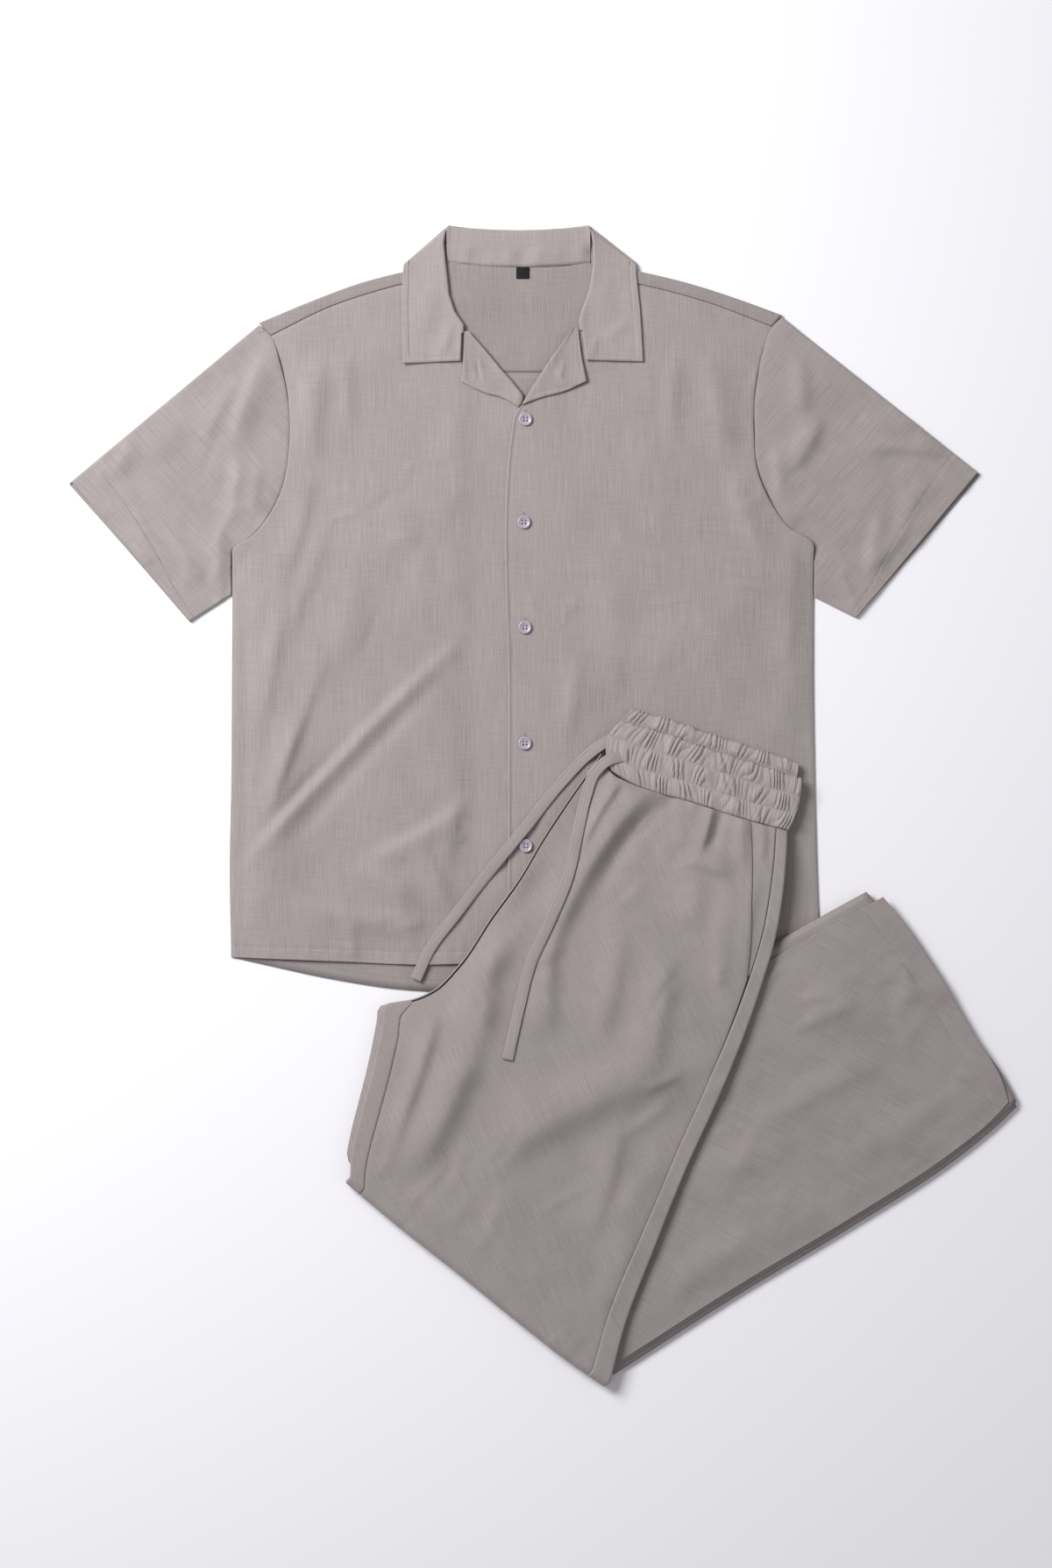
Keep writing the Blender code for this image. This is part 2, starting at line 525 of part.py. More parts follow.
def make_sleeves():
    """Sleeves, flattened tubes open at the armhole and the cuff."""
    for name, cuff, armhole, end in (
            ("shirt_sleeve_right", CUFF_RIGHT, ARMHOLE_RIGHT, SLEEVE_SEAM_RIGHT_END),
            ("shirt_sleeve_left", CUFF_LEFT, ARMHOLE_LEFT, SLEEVE_SEAM_LEFT_END)):
        out = -SLEEVE_SEAM_OUT if end[0] < 0 else SLEEVE_SEAM_OUT
        shoulder = SHOULDER_RIGHT[0] if end[0] < 0 else SHOULDER_LEFT[0]
        seam = [(shoulder[0] + out, shoulder[1] - 2.0)]
        seam += [(x + out, y) for x, y in armhole[::-1]]
        seam += [(end[0] + out, armhole[0][1] - 12.0), (end[0] + out, end[1])]
        upper = [cuff[0], seam[0]]
        under = [cuff[-1], seam[-1]]
        seam = curve(seam, len(armhole), SLEEVE_CORNER_SHARE)
        place = patch(upper, under, cuff, seam)

        def across_then_along(across, along, place=place):
            return place(along, across)

        def bottom(x, y):
            return np.zeros_like(x)

        def top(x, y):
            return BODY_HEIGHT + folds(x, y, SLEEVE_FOLDS)
        tube(name, across_then_along, bottom, top, split_shares(SLEEVE_CORNER_SHARE, 8, 3),
             side=-1.0 if end[0] < 0 else 1.0)


def make_lapels():
    """Tops of the front facings, turned out on the fronts as lapels."""
    right_bottom = [(-78.4, 411.1), (-54.0, 399.8), (-38.4, 395.5), (-22.0, 386.0)]
    right_left = [(-78.4, 411.1), (-76.3, 430.0), (-75.2, 460.0)]
    right_edge = [(-22.0, 386.0), (-17.8, 393.8), (-26.3, 408.5), (-38.4, 422.4), (-57.5, 445.1),
                  (-70.7, 460.0)]
    right_top = [right_left[-1], (-73.0, 460.0), right_edge[-1]]
    x, y = patch(right_bottom, right_top, right_left, right_edge)(*mesh_grid(7, 9))
    sheet("shirt_lapel_right", x, y, np.full_like(x, BODY_HEIGHT + GAP + WALL))

    left_bottom = [(-19.5, 388.6), (-0.2, 395.5), (22.2, 401.7), (43.8, 411.5)]
    left_edge = [(-19.5, 388.6), (-16.0, 394.5), (1.5, 422.4), (22.2, 451.9), (30.3, 463.0)]
    left_right = [(43.8, 411.5), (39.6, 431.0), (35.2, 463.0)]
    left_top = [left_edge[-1], (32.7, 463.0), left_right[-1]]
    x, y = patch(left_bottom, left_top, left_edge, left_right)(*mesh_grid(7, 9))
    sheet("shirt_lapel_left", x, y, np.full_like(x, PLACKET_OVER + GAP + WALL))


def make_collar():
    """Collar, one folded wall: standing at the back neck, its leaves lying open at the front."""
    row = columns(COLLAR_ROWS, COLLAR_COLUMNS)
    count = len(COLLAR_ROWS)
    roll = np.stack([row["roll_x"], row["roll_y"]], axis=1)
    edge = np.stack([row["edge_x"], row["edge_y"]], axis=1)
    over = row["over"][:, None]
    in_front = over > 0.75
    opened = row["opened"] > 0.5
    out = roll - edge
    width = np.linalg.norm(out, axis=1)[:, None]
    out = out / width
    neck_x = np.clip(roll[:, 0], -94.0, 50.0)
    neck = np.stack([neck_x, np.full(count, NECK_SEAM_Y + GAP)], axis=1)
    stand = roll - neck
    stand_width = np.linalg.norm(stand, axis=1)[:, None]
    stand = stand / stand_width

    radius = COLLAR_BEND
    bend = (STAND_HEIGHT - FALL_HEIGHT) / 2
    seam_height = NECK_LIFT + WALL / 2
    across = []
    for part in (0.0, 0.35, 0.7):
        height = seam_height + (STAND_HEIGHT - seam_height) * part
        place = neck + stand * (stand_width - 4 * radius) * part
        across.append((place, np.full((count, 1), height)))
    for angle in (-90.0, -30.0, 30.0, 90.0):
        turn = math.radians(angle)
        inset = radius * (1 - math.cos(turn))
        toward = stand if angle < 0 else out
        on_top = LEAF_HEIGHT + ROLL_RISE * math.sin(turn)
        beneath = FALL_HEIGHT + bend * (1 - math.sin(turn)) + 2.4 * over
        across.append((roll - toward * inset, np.where(in_front, on_top, beneath)))
    fall_start = across[-1][1]
    for part in (0.08, 0.2, 0.4, 0.6, 0.8, 1.0):
        on_top = LEAF_HEIGHT + ROLL_RISE * np.exp(-part * width / 9.0)
        reach = radius + (width - radius) * part
        height = over * on_top + (1 - over) * FALL_HEIGHT
        near_roll = np.where(in_front, 0.0, np.exp(-part / 0.15))
        height = height + near_roll * (fall_start - height)
        across.append((roll - out * reach, height))
    x = np.stack([place[:, 0] for place, _ in across], axis=1)
    y = np.stack([place[:, 1] for place, _ in across], axis=1)
    z = np.concatenate([height for _, height in across], axis=1)

    at_back = ~in_front[:, 0]
    rolled = opened & np.roll(opened, -1) & (at_back == np.roll(at_back, -1))
    keep = np.ones(x.shape, dtype=bool)
    keep[:, :3] = (at_back & np.roll(at_back, -1))[:, None]
    keep[:, 3:6] = rolled[:, None]
    sheet("shirt_collar", x, y, z, side=0.0, keep=keep)


def make_label():
    """Neck label, bare, sewn in at the back neck."""
    x, y = mesh_grid(4, 4)
    x = LABEL_PLACE[0] + LABEL_SIZE[0] * (x - 0.5)
    y = LABEL_PLACE[1] + LABEL_SIZE[1] * (y - 0.5)
    sheet("shirt_neck_label", x, y, neck_lift(x, y) + WALL + GAP, side=1.0,
          color=LABEL_COLOR, roughness=0.8)


def make_button(name, x, y, z):
    """A round button with four holes."""
    work = bmesh.new()
    bmesh.ops.create_cone(work, cap_ends=True, segments=18, radius1=BUTTON_WIDTH / 2 * MM,
                          radius2=BUTTON_WIDTH / 2 * MM, depth=BUTTON_DEPTH * MM)
    mesh = bpy.data.meshes.new(name)
    work.to_mesh(mesh)
    work.free()
    button = add_object(name, mesh, color=BUTTON_COLOR, roughness=0.35)
    button.location = place_at(x, y, z + BUTTON_DEPTH / 2)
    for index, (side_x, side_y) in enumerate(((1, 1), (1, -1), (-1, 1), (-1, -1))):
        work = bmesh.new()
        bmesh.ops.create_cone(work, cap_ends=True, segments=6, radius1=HOLE_RADIUS * MM,
                              radius2=HOLE_RADIUS * MM, depth=4 * BUTTON_DEPTH * MM)
        mesh = bpy.data.meshes.new(f"{name}_hole_{index}")
        work.to_mesh(mesh)
        work.free()
        cutter = bpy.data.objects.new(f"{name}_hole_{index}", mesh)
        bpy.data.collections["cutters"].objects.link(cutter)
        cutter.location = place_at(x + HOLE_OFFSET * side_x, y + HOLE_OFFSET * side_y, z)
        cutter.hide_render = True
        cutter.display_type = "WIRE"
        hole = button.modifiers.new(f"hole_{index}", "BOOLEAN")
        hole.operation = "DIFFERENCE"
        hole.object = cutter


def make_buttons():
    """Five buttons down the left front."""
    for index, (x, y) in enumerate(BUTTON_PLACES, start=1):
        top = float(front_top(np.array(x), np.array(y), over=True))
        make_button(f"shirt_button_{index}", x, y, top + GAP)


def leg_patch():
    """The upper leg seen from above, from the waist seam down to the knee fold."""
    return patch(WAIST_SEAM, KNEE_EDGE, LEG_LEFT_EDGE, LEG_RIGHT_EDGE)


def leg_seams(along):
    """Widths of the strips and of the pocket's opening at shares of the leg's length."""
    row = columns(LEG_SEAMS, LEG_SEAM_COLUMNS)
    names = ("inseam_strip", "side_strip", "opening")
    return [np.interp(along, row["along"], row[name]) for name in names]


def rung_length(place, along):
    """Width of the leg at shares of its length."""
    left = np.array(place(0.0, along))
    right = np.array(place(1.0, along))
    return np.hypot(*(right - left))


def roll_under(x, y, z, depth):
    """Adds the rows of a panel that turn down round the knee fold, to just above the surface."""
    run = np.array(KNEE_LINE[1]) - np.array(KNEE_LINE[0])
    run = run / np.linalg.norm(run)
    out = (run[1], -run[0])
    rows = [(x, y, z)]
    last_x, last_y = x[-1:], y[-1:]
    center = z[-1:] + depth - KNEE_RADIUS
    for angle in (35.0, 65.0, 90.0):
        turn = math.radians(angle)
        reach = (KNEE_RADIUS - depth) * math.sin(turn)
        rows.append((last_x + out[0] * reach, last_y + out[1] * reach,
                     center + (KNEE_RADIUS - depth) * math.cos(turn)))
    reach = KNEE_RADIUS - depth
    rows.append((last_x + out[0] * reach, last_y + out[1] * reach, KNEE_REST[0] * center + KNEE_REST[1]))
    return [np.concatenate([row[axis] for row in rows]) for axis in range(3)]


def make_leg_front():
    """Left front of the trousers, from the fly and inseam to the pocket and side seam."""
    place = leg_patch()
    across, along = mesh_grid(12, 19)
    inseam, _, opening = leg_seams(along)
    length = rung_length(place, along)
    start = (inseam + GAP) / length
    end = 1 - (opening + GAP) / length
    x, y = place(start + (end - start) * across, along)
    x, y, z = roll_under(x, y, leg_top(x, y), np.zeros(x.shape[1]))
    sheet("trouser_left_front", x, y, z, side=1.0)


def make_leg_back():
    """Left back of the trousers: under the front, and round both edges to the seams on top."""
    place = leg_patch()
    along = np.linspace(0, 1, 19)[:, None]
    inseam, side, _ = leg_seams(along)
    length = rung_length(place, along)
    radius = LEG_HEIGHT / 2
    round_in = np.array([[1.0, 0.3, 0.0, 0.3, 1.0]]) * radius
    lift_in = np.array([1.0, 0.85, 0.5, 0.15, 0.0])
    left = np.concatenate([inseam, (inseam + radius) / 2, round_in + 0 * along], axis=1)
    right = np.concatenate([round_in + 0 * along, (side + radius) / 2, side], axis=1)
    middle = np.linspace(0, 1, 7)[None, 1:-1]
    share = np.concatenate([left / length, (radius + (length - 2 * radius) * middle) / length,
                            1 - right / length], axis=1)
    lift = np.concatenate([(1.0, 1.0), lift_in, np.zeros(5), lift_in[::-1], (1.0, 1.0)])
    x, y = place(share, along + 0 * share)
    z = leg_bottom(x, y) + lift * (leg_top(x, y) - leg_bottom(x, y))
    x, y, z = roll_under(x, y, z, (1 - lift) * LEG_HEIGHT)
    keep = np.ones(x.shape, dtype=bool)
    keep[:round(CROTCH_ALONG * 18), :3] = False
    sheet("trouser_left_back", x, y, z, keep=keep)


def make_pocket():
    """Pocket facing, seen between the pocket's opening and the side seam."""
    place = leg_patch()
    across, share = mesh_grid(4, 8)
    along = share * POCKET_ALONG * 0.92
    _, side, opening = leg_seams(along)
    length = rung_length(place, along)
    start = 1 - (opening + 9.0) / length
    end = 1 - (side + GAP) / length
    x, y = place(start + (end - start) * across, along)
    sheet("trouser_pocket_facing", x, y, leg_top(x, y) - WALL - GAP, side=1.0)


def make_upper_layers():
    """The right leg's layers, under the left leg, as one rounded solid."""
    place = leg_patch()
    across, along = mesh_grid(7, 14)
    along = 0.01 + 0.975 * along
    x, y = place(0.025 + 0.95 * across, along)
    run = np.array(place(1.0, along)) - np.array(place(0.0, along))
    length = np.hypot(*run)
    out = (0.025 * length + LAYERS_OUT) * smooth(along, 0.61, 0.68) * (1 - across)
    x = x - run[0] / length * out
    y = y - run[1] / length * out
    piece = sheet("trouser_upper_layers", x, y, leg_bottom(x, y) - LAYERS_GAP - LAYERS_HEIGHT,
                  depth=LAYERS_HEIGHT, side=-1.0)
    rounded(piece, 1.2)


def lower_patch(upper_spread, lower_spread, hem_spread):
    """The lower leg seen from above, let out by so much at its upper edge, lower edge and hem."""
    def move(points, share):
        moved = []
        for index, (x, y) in enumerate(points):
            part = index / (len(points) - 1) if share is None else share
            spread = (1 - part) * upper_spread - part * lower_spread
            moved.append((x - LOWER_RUN[1] * spread, y + LOWER_RUN[0] * spread))
        return moved

    def lengthen(points):
        return [(x + LOWER_RUN[0] * hem_spread, y + LOWER_RUN[1] * hem_spread)
                for x, y in points]
    hem = lengthen(move(LOWER_HEM, None))
    knee = move(LOWER_KNEE, None)
    upper = [knee[0]] + move(LOWER_TOP[1:-1], 0.0) + [hem[0]]
    lower = [knee[-1]] + move(LOWER_BOTTOM[1:-1], 1.0) + [hem[-1]]
    return patch(lower, upper, knee[::-1], hem[::-1])


def make_lower_leg():
    """Lower legs, folded under: the right front on top, its back and the other layers under it."""
    across, along = mesh_grid(15, 8)
    x, y = lower_patch(0.0, 0.0, 0.0)(across, along)
    rim = smooth(along, 0.0, 0.12) * (1 - smooth(along, 0.88, 1.0))
    sheet("trouser_right_front", x, y, lower_top(x, y) - LOWER_RIM_DROP * (1 - rim))

    x, y = lower_patch(*LAYER_SPREADS["trouser_right_back"])(across, along)
    back_top = lower_top(x, y) - LOWER_RIM_DROP - WALL - GAP
    sheet("trouser_right_back", x, y, back_top)

    x, y = lower_patch(*LAYER_SPREADS["trouser_lower_layers"])(across, along)
    depth = LOWER_HEIGHT - LOWER_RIM_DROP - 2 * (WALL + GAP)
    piece = sheet("trouser_lower_layers", x, y, ground(x, y), depth=depth, side=1.0)
    rounded(piece, 1.5)


def make_waistband():
    """Waistband: the gathered front, and the back's edge past it."""
    left = [WAISTBAND_BOTTOM[0], (62.0, 52.4), (65.0, 68.0), WAISTBAND_TOP[0]]
    right = [WAISTBAND_BOTTOM[-1], (247.5, -5.0), (251.0, 12.6), WAISTBAND_TOP[-1]]
    place = patch(WAISTBAND_BOTTOM, WAISTBAND_TOP, left, right)
    middle = ground(120.0, 20.0) + LAYERS_HEIGHT + GAP
    across, along = mesh_grid(2 * GATHERS + 1, 7)
    x, y = place(across, along)
    wave = np.where(np.arange(2 * GATHERS + 1) % 2, GATHER_HEIGHT, -GATHER_HEIGHT)
    wave = wave[None, :]
    channel = np.array([0.25, 1.0, 0.25, 1.0, 0.25, 1.0, 0.25])[:, None]
    top = middle + 2 * BAND_DEPTH + GAP + 0.9
    sheet("trouser_waistband_front", x, y, top + wave * channel, depth=BAND_DEPTH)

    across, along = mesh_grid(2 * GATHERS + 1, 3)
    x, y = place(0.04 + 0.92 * across, 0.12 + 0.88 * along)
    wave = np.where(np.arange(2 * GATHERS + 1) % 2, BACK_GATHER_HEIGHT, -BACK_GATHER_HEIGHT)
    wave = wave[None, :]
    shown = along > 0.9
    sheet("trouser_waistband_back", x + WAISTBAND_SHIFT[0], y + WAISTBAND_SHIFT[1],
          middle + BAND_DEPTH - 0.1 + wave * shown, depth=BAND_DEPTH - 0.2)


def make_tie(name, route, height, count):
    """A flat drawstring end: a strip carried along its route on top of what it lies on."""
    share = np.linspace(0, 1, count)
    center = curve(route)(share)
    run = np.gradient(center, axis=0)
    run /= np.linalg.norm(run, axis=1)[:, None]
    aside = np.stack([-run[:, 1], run[:, 0]], axis=1)
    offsets = np.array([-0.5, 0.0, 0.5]) * TIE_WIDTH
    x = center[:, 0:1] - aside[:, 0:1] * offsets
    y = center[:, 1:2] - aside[:, 1:2] * offsets
    z = height(x, y, share[:, None])
    z = np.repeat(z.max(axis=1)[:, None], 3, axis=1)
    sheet(name, x, y, z, depth=TIE_DEPTH, side=1.0)


def make_ties():
    """Two drawstring ends: the right one down the shirt, the left one down the left leg."""
    def on_shirt(x, y, share):
        over = front_top(x, y, over=True)
        under = front_top(x, y, over=False)
        start = TIE_RIGHT_START * (1 - smooth(share, 0.0, 0.1))
        button = np.hypot(x - BUTTON_PLACES[-1][0], y - BUTTON_PLACES[-1][1])
        hump = (BUTTON_DEPTH + GAP) * (1 - smooth(button, 18.0, 36.0))
        return np.maximum(np.where(x > -45.0, over, under) + GAP + TIE_LIFT + hump, start)

    def on_leg(x, y, share):
        band = TIE_LEFT_START * (1 - smooth(share, 0.08, 0.16))
        return np.maximum(leg_top(x, y) + GAP + TIE_LIFT, band)
    make_tie("trouser_tie_right", TIE_RIGHT_ROUTE, on_shirt, 26)
    make_tie("trouser_tie_left", TIE_LEFT_ROUTE, on_leg, 28)


def main():
    for piece in list(bpy.data.objects):
        bpy.data.objects.remove(piece, do_unlink=True)
    for name in (COLLECTION, "cutters"):
        bpy.context.scene.collection.children.link(bpy.data.collections.new(name))
    make_back()
    make_yoke()
    make_fronts()
    make_sleeves()
    make_lapels()
    make_collar()
    make_label()
    make_buttons()
    make_leg_front()
    make_leg_back()
    make_pocket()
    make_upper_layers()
    make_lower_leg()
    make_waistband()
    make_ties()


main()
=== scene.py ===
"""Looks of a linen shirt and trousers set, laid flat: cloth, seams, stitching, buttons and ties.

The set lies on a pale floor and is seen from straight above. Sizes and places are millimetres in
the tables' frame, whose origin is 1.4 mm left of and 0.3 mm above the set's own origin.
"""
import math

import bmesh
import bpy
import numpy as np
from mathutils import Matrix, Vector


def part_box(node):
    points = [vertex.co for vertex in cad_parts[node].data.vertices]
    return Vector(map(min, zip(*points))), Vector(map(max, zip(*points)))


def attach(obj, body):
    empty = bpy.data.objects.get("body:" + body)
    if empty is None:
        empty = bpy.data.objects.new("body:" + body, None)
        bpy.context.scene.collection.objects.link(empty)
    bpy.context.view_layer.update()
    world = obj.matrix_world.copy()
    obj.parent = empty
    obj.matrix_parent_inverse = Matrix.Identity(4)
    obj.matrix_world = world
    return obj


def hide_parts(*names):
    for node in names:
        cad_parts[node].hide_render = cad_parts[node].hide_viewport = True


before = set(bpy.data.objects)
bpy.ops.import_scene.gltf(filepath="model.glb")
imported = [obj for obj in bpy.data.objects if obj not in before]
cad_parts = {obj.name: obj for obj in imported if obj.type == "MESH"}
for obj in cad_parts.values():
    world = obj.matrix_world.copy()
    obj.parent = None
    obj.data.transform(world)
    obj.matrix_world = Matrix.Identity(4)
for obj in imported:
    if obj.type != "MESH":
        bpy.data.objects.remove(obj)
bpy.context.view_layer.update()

# Camera. The set is seen from straight above, the view 1.52 m high, with a long lens, so that
# nothing leans outwards.
MM = 0.001
PHOTO_HIGH = 1789
PIXEL = 0.85                  # millimetres on the set for a pixel of the photograph
VIEW_MIDDLE = (-16.6, 20.8)   # what the middle of the view looks at, from the set's origin
VIEW_LEVEL = 8.0              # height of the cloth that the view is measured on
LENS = 85.0
SENSOR = 36.0


def add_object(name, data):
    """An object that holds the data, put into the scene."""
    made = bpy.data.objects.new(name, data)
    bpy.context.scene.collection.objects.link(made)
    return made


camera = add_object("camera", bpy.data.cameras.new("camera"))
camera.data.sensor_fit = "VERTICAL"
camera.data.sensor_height = SENSOR
camera.data.lens = LENS
camera.data.clip_end = 50.0
camera_reach = PHOTO_HIGH * PIXEL * LENS / SENSOR + VIEW_LEVEL
camera.location = (VIEW_MIDDLE[0] * MM, VIEW_MIDDLE[1] * MM, camera_reach * MM)
bpy.context.scene.camera = camera

# Floor and light. A pale floor with a breath of lavender, a broad soft light from the upper left,
# a weaker one from the right, and an even light all round.
FLOOR_SIZE = 12.0
FLOOR_DROP = 0.0003   # so that it shares no plane with the cloth's underside
FLOOR_COLOR = (0.93, 0.92, 0.955, 1.0)
WORLD_COLOR = (0.965, 0.955, 1.0, 1.0)
WORLD_STRENGTH = 0.3
LIGHTS = {
    "key_light": {"place": (-1.5, 1.15, 1.9), "size": 1.2, "power": 77.0},
    "fill_light": {"place": (2.2, -0.6, 2.6), "size": 2.6, "power": 8.0},
}
half = FLOOR_SIZE / 2
floor_mesh = bpy.data.meshes.new("floor")
floor_mesh.from_pydata([(-half, -half, -FLOOR_DROP), (half, -half, -FLOOR_DROP),
                        (half, half, -FLOOR_DROP), (-half, half, -FLOOR_DROP)],
                       [], [(0, 1, 2, 3)])
floor = add_object("floor", floor_mesh)
floor_material = bpy.data.materials.new("floor")
floor_material.use_nodes = True
floor_shader = floor_material.node_tree.nodes["Principled BSDF"]
floor_shader.inputs["Base Color"].default_value = FLOOR_COLOR
floor_shader.inputs["Roughness"].default_value = 0.95
floor.data.materials.append(floor_material)
for name, light in LIGHTS.items():
    lamp = add_object(name, bpy.data.lights.new(name, "AREA"))
    lamp.data.size = light["size"]
    lamp.data.energy = light["power"]
    lamp.location = light["place"]
    lamp.rotation_euler = (-Vector(light["place"])).to_track_quat("-Z", "Y").to_euler()
world = bpy.data.worlds.new("soft studio")
world.use_nodes = True
world.node_tree.nodes["Background"].inputs["Color"].default_value = WORLD_COLOR
world.node_tree.nodes["Background"].inputs["Strength"].default_value = WORLD_STRENGTH
bpy.context.scene.world = world
bpy.context.scene.view_settings.view_transform = "Standard"


# Linen. Both garments are one slubby plain weave in a warm grey: uneven yarns, some thick for a
# few centimetres, run along the warp and the weft and show as fine light and dark streaks. Two
# copies carry painted light: a darker one, painted shade, for the shirt's back and yoke under the
# collar's shadow, and a lighter one, painted light, for the collar where the light falls on it.
LINEN_DARK = (0.262, 0.229, 0.226, 1.0)
LINEN_LIGHT = (0.432, 0.380, 0.372, 1.0)
# painted shade: the darker copy of the linen, for the collar's shadow inside the back neck
PAINTED_NECK_SHADE = 0.90
# painted light: the lighter copy of the linen for the collar, which the light from the left falls
# on
PAINTED_COLLAR_LIGHT = 1.06
YARN = 1700.0       # yarns a metre that the eye can tell apart
SLUB = 900.0        # slubs a metre across the yarns
SLUB_RUN = 24.0     # slubs a metre along a yarn
WEFT_SHARE = 0.55   # of the weft's slubs beside the warp's
SLUB_TONE = 0.70    # how much of the tone the slubs, the single yarns and the patches make
YARN_TONE = 0.35
PATCH_TONE = 0.30


def add_node(tree, kind, settings=None, **inputs):
    """Adds a node; an input's name is given with _ for a space, and a socket given is linked."""
    made = tree.nodes.new(kind)
    for name, value in (settings or {}).items():
        setattr(made, name, value)
    for name, value in inputs.items():
        socket = made.inputs[name.replace("_", " ")]
        if isinstance(value, bpy.types.NodeSocket):
            tree.links.new(value, socket)
        else:
            socket.default_value = value
    return made


def combine(tree, operation, first, second):
    """A sum, product or like of two values, each a socket or a number."""
    made = tree.nodes.new("ShaderNodeMath")
    made.operation = operation
    for index, value in enumerate((first, second)):
        if isinstance(value, bpy.types.NodeSocket):
            tree.links.new(value, made.inputs[index])
        else:
            made.inputs[index].default_value = value
    return made.outputs[0]


def streaks(tree, vector, stretch, detail):
    """Noise stretched by so much along u and v, about 0 in the middle."""
    scaled = add_node(tree, "ShaderNodeVectorMath", {"operation": "MULTIPLY"})
    tree.links.new(vector, scaled.inputs[0])
    scaled.inputs[1].default_value = (*stretch, 0.0)
    noise = add_node(tree, "ShaderNodeTexNoise", {"noise_dimensions": "2D"},
                     Vector=scaled.outputs[0], Scale=1.0, Detail=detail)
    return combine(tree, "SUBTRACT", noise.outputs[0], 0.5)


weave = bpy.data.node_groups.new("linen weave", "ShaderNodeTree")
for label, kind, value in (("Vector", "NodeSocketVector", None),
                           ("Dark Yarn", "NodeSocketColor", LINEN_DARK),
                           ("Light Yarn", "NodeSocketColor", LINEN_LIGHT),
                           ("Slubs", "NodeSocketFloat", 1.0)):
    socket = weave.interface.new_socket(name=label, in_out="INPUT", socket_type=kind)
    if value is not None:
        socket.default_value = value
for label, kind in (("Color", "NodeSocketColor"), ("Roughness", "NodeSocketFloat"),
                    ("Height", "NodeSocketFloat")):
    weave.interface.new_socket(name=label, in_out="OUTPUT", socket_type=kind)
group_in = weave.nodes.new("NodeGroupInput").outputs
group_out = weave.nodes.new("NodeGroupOutput").inputs
warp = streaks(weave, group_in["Vector"], (SLUB, SLUB_RUN), 3.0)
weft = streaks(weave, group_in["Vector"], (SLUB_RUN * 1.4, SLUB), 3.0)
warp_yarn = streaks(weave, group_in["Vector"], (YARN, YARN / 30), 1.0)
weft_yarn = streaks(weave, group_in["Vector"], (YARN / 30, YARN), 1.0)
patches = streaks(weave, group_in["Vector"], (26.0, 9.0), 2.0)
slubs = combine(weave, "ADD", warp, combine(weave, "MULTIPLY", weft, WEFT_SHARE))
yarns = combine(weave, "ADD", warp_yarn, combine(weave, "MULTIPLY", weft_yarn, 0.6))
tone = combine(weave, "MULTIPLY", combine(weave, "MULTIPLY", slubs, SLUB_TONE),
               group_in["Slubs"])
tone = combine(weave, "ADD", tone, combine(weave, "MULTIPLY", yarns, YARN_TONE))
tone = combine(weave, "ADD", tone, combine(weave, "MULTIPLY", patches, PATCH_TONE))
tone = combine(weave, "ADD", tone, 0.5)
mixed = add_node(weave, "ShaderNodeMix", {"data_type": "RGBA"})
for source, place_in_mix in ((tone, 0), (group_in["Dark Yarn"], 6), (group_in["Light Yarn"], 7)):
    weave.links.new(source, mixed.inputs[place_in_mix])
weave.links.new(mixed.outputs[2], group_out["Color"])
weave.links.new(combine(weave, "ADD", combine(weave, "MULTIPLY", tone, -0.12), 0.93),
                group_out["Roughness"])
weave.links.new(combine(weave, "ADD", slubs, combine(weave, "MULTIPLY", yarns, 0.8)),
                group_out["Height"])


def cloth_material(name, slubs, bump, shade=1.0):
    """Linen on the piece's own UV map, which is in metres; both its yarns are times the shade."""
    dark, light = ((*(part * shade for part in yarn[:3]), 1.0)
                   for yarn in (LINEN_DARK, LINEN_LIGHT))
    made = bpy.data.materials.new(name)
    made.use_nodes = True
    tree = made.node_tree
    shader = tree.nodes["Principled BSDF"]
    uv = add_node(tree, "ShaderNodeUVMap", {"uv_map": "weave"})
    group = add_node(tree, "ShaderNodeGroup", {"node_tree": weave},
                     Vector=uv.outputs["UV"], Dark_Yarn=dark, Light_Yarn=light, Slubs=slubs)
    relief = add_node(tree, "ShaderNodeBump", Strength=bump, Distance=0.0004,
                      Height=group.outputs["Height"])
    tree.links.new(group.outputs["Color"], shader.inputs["Base Color"])
    tree.links.new(group.outputs["Roughness"], shader.inputs["Roughness"])
    tree.links.new(relief.outputs["Normal"], shader.inputs["Normal"])
    shader.inputs["Specular IOR Level"].default_value = 0.25
    shader.inputs["Sheen Weight"].default_value = 0.18
    shader.inputs["Sheen Roughness"].default_value = 0.45
    return made


linen = cloth_material("linen", 1.0, 0.55)
# painted shade: a darker copy of the linen, for the shirt's back and yoke
linen_painted_shade = cloth_material("linen painted shade", 0.9, 0.55, PAINTED_NECK_SHADE)
# painted light: a lighter copy of the linen, for the collar
linen_painted_light = cloth_material("linen painted light", 0.9, 0.5, PAINTED_COLLAR_LIGHT)
linen_tape = cloth_material("linen tape", 0.6, 0.35)

# Shirt back. One panel of linen, flat on the floor, from the yoke's seam to a hem that curves
# lower than the fronts'; its edge shows past the right side and below the front hem.
ORIGIN = (1.4, -0.3)
WALL = 1.0
GAP = 0.4
SEAM_GAP = 0.1        # between two pieces' folded edges at a seam
YOKE_BACK_Y = 420.4
UNDERARM_SHARE = 0.66
HEM_STITCH = 11.0     # from the hem's edge to its stitching
BODY_LONG = 600.0     # of the shirt's panels, for laying their rows and creases out
SIDE_RIGHT = [(-301.5, -147.8), (-303, -60), (-301.6, 15.8), (-300.8, 134.8), (-300.4, 204.2),
              (-300.2, 238), (-299.9, 248.7)]
ARMHOLE_RIGHT = [(-299.9, 248.7), (-283.9, 259.2), (-265, 281), (-254.3, 301.5),
                 (-245, 350), (-246.5, 395), (-254, 430), (-262.7, 455.7)]
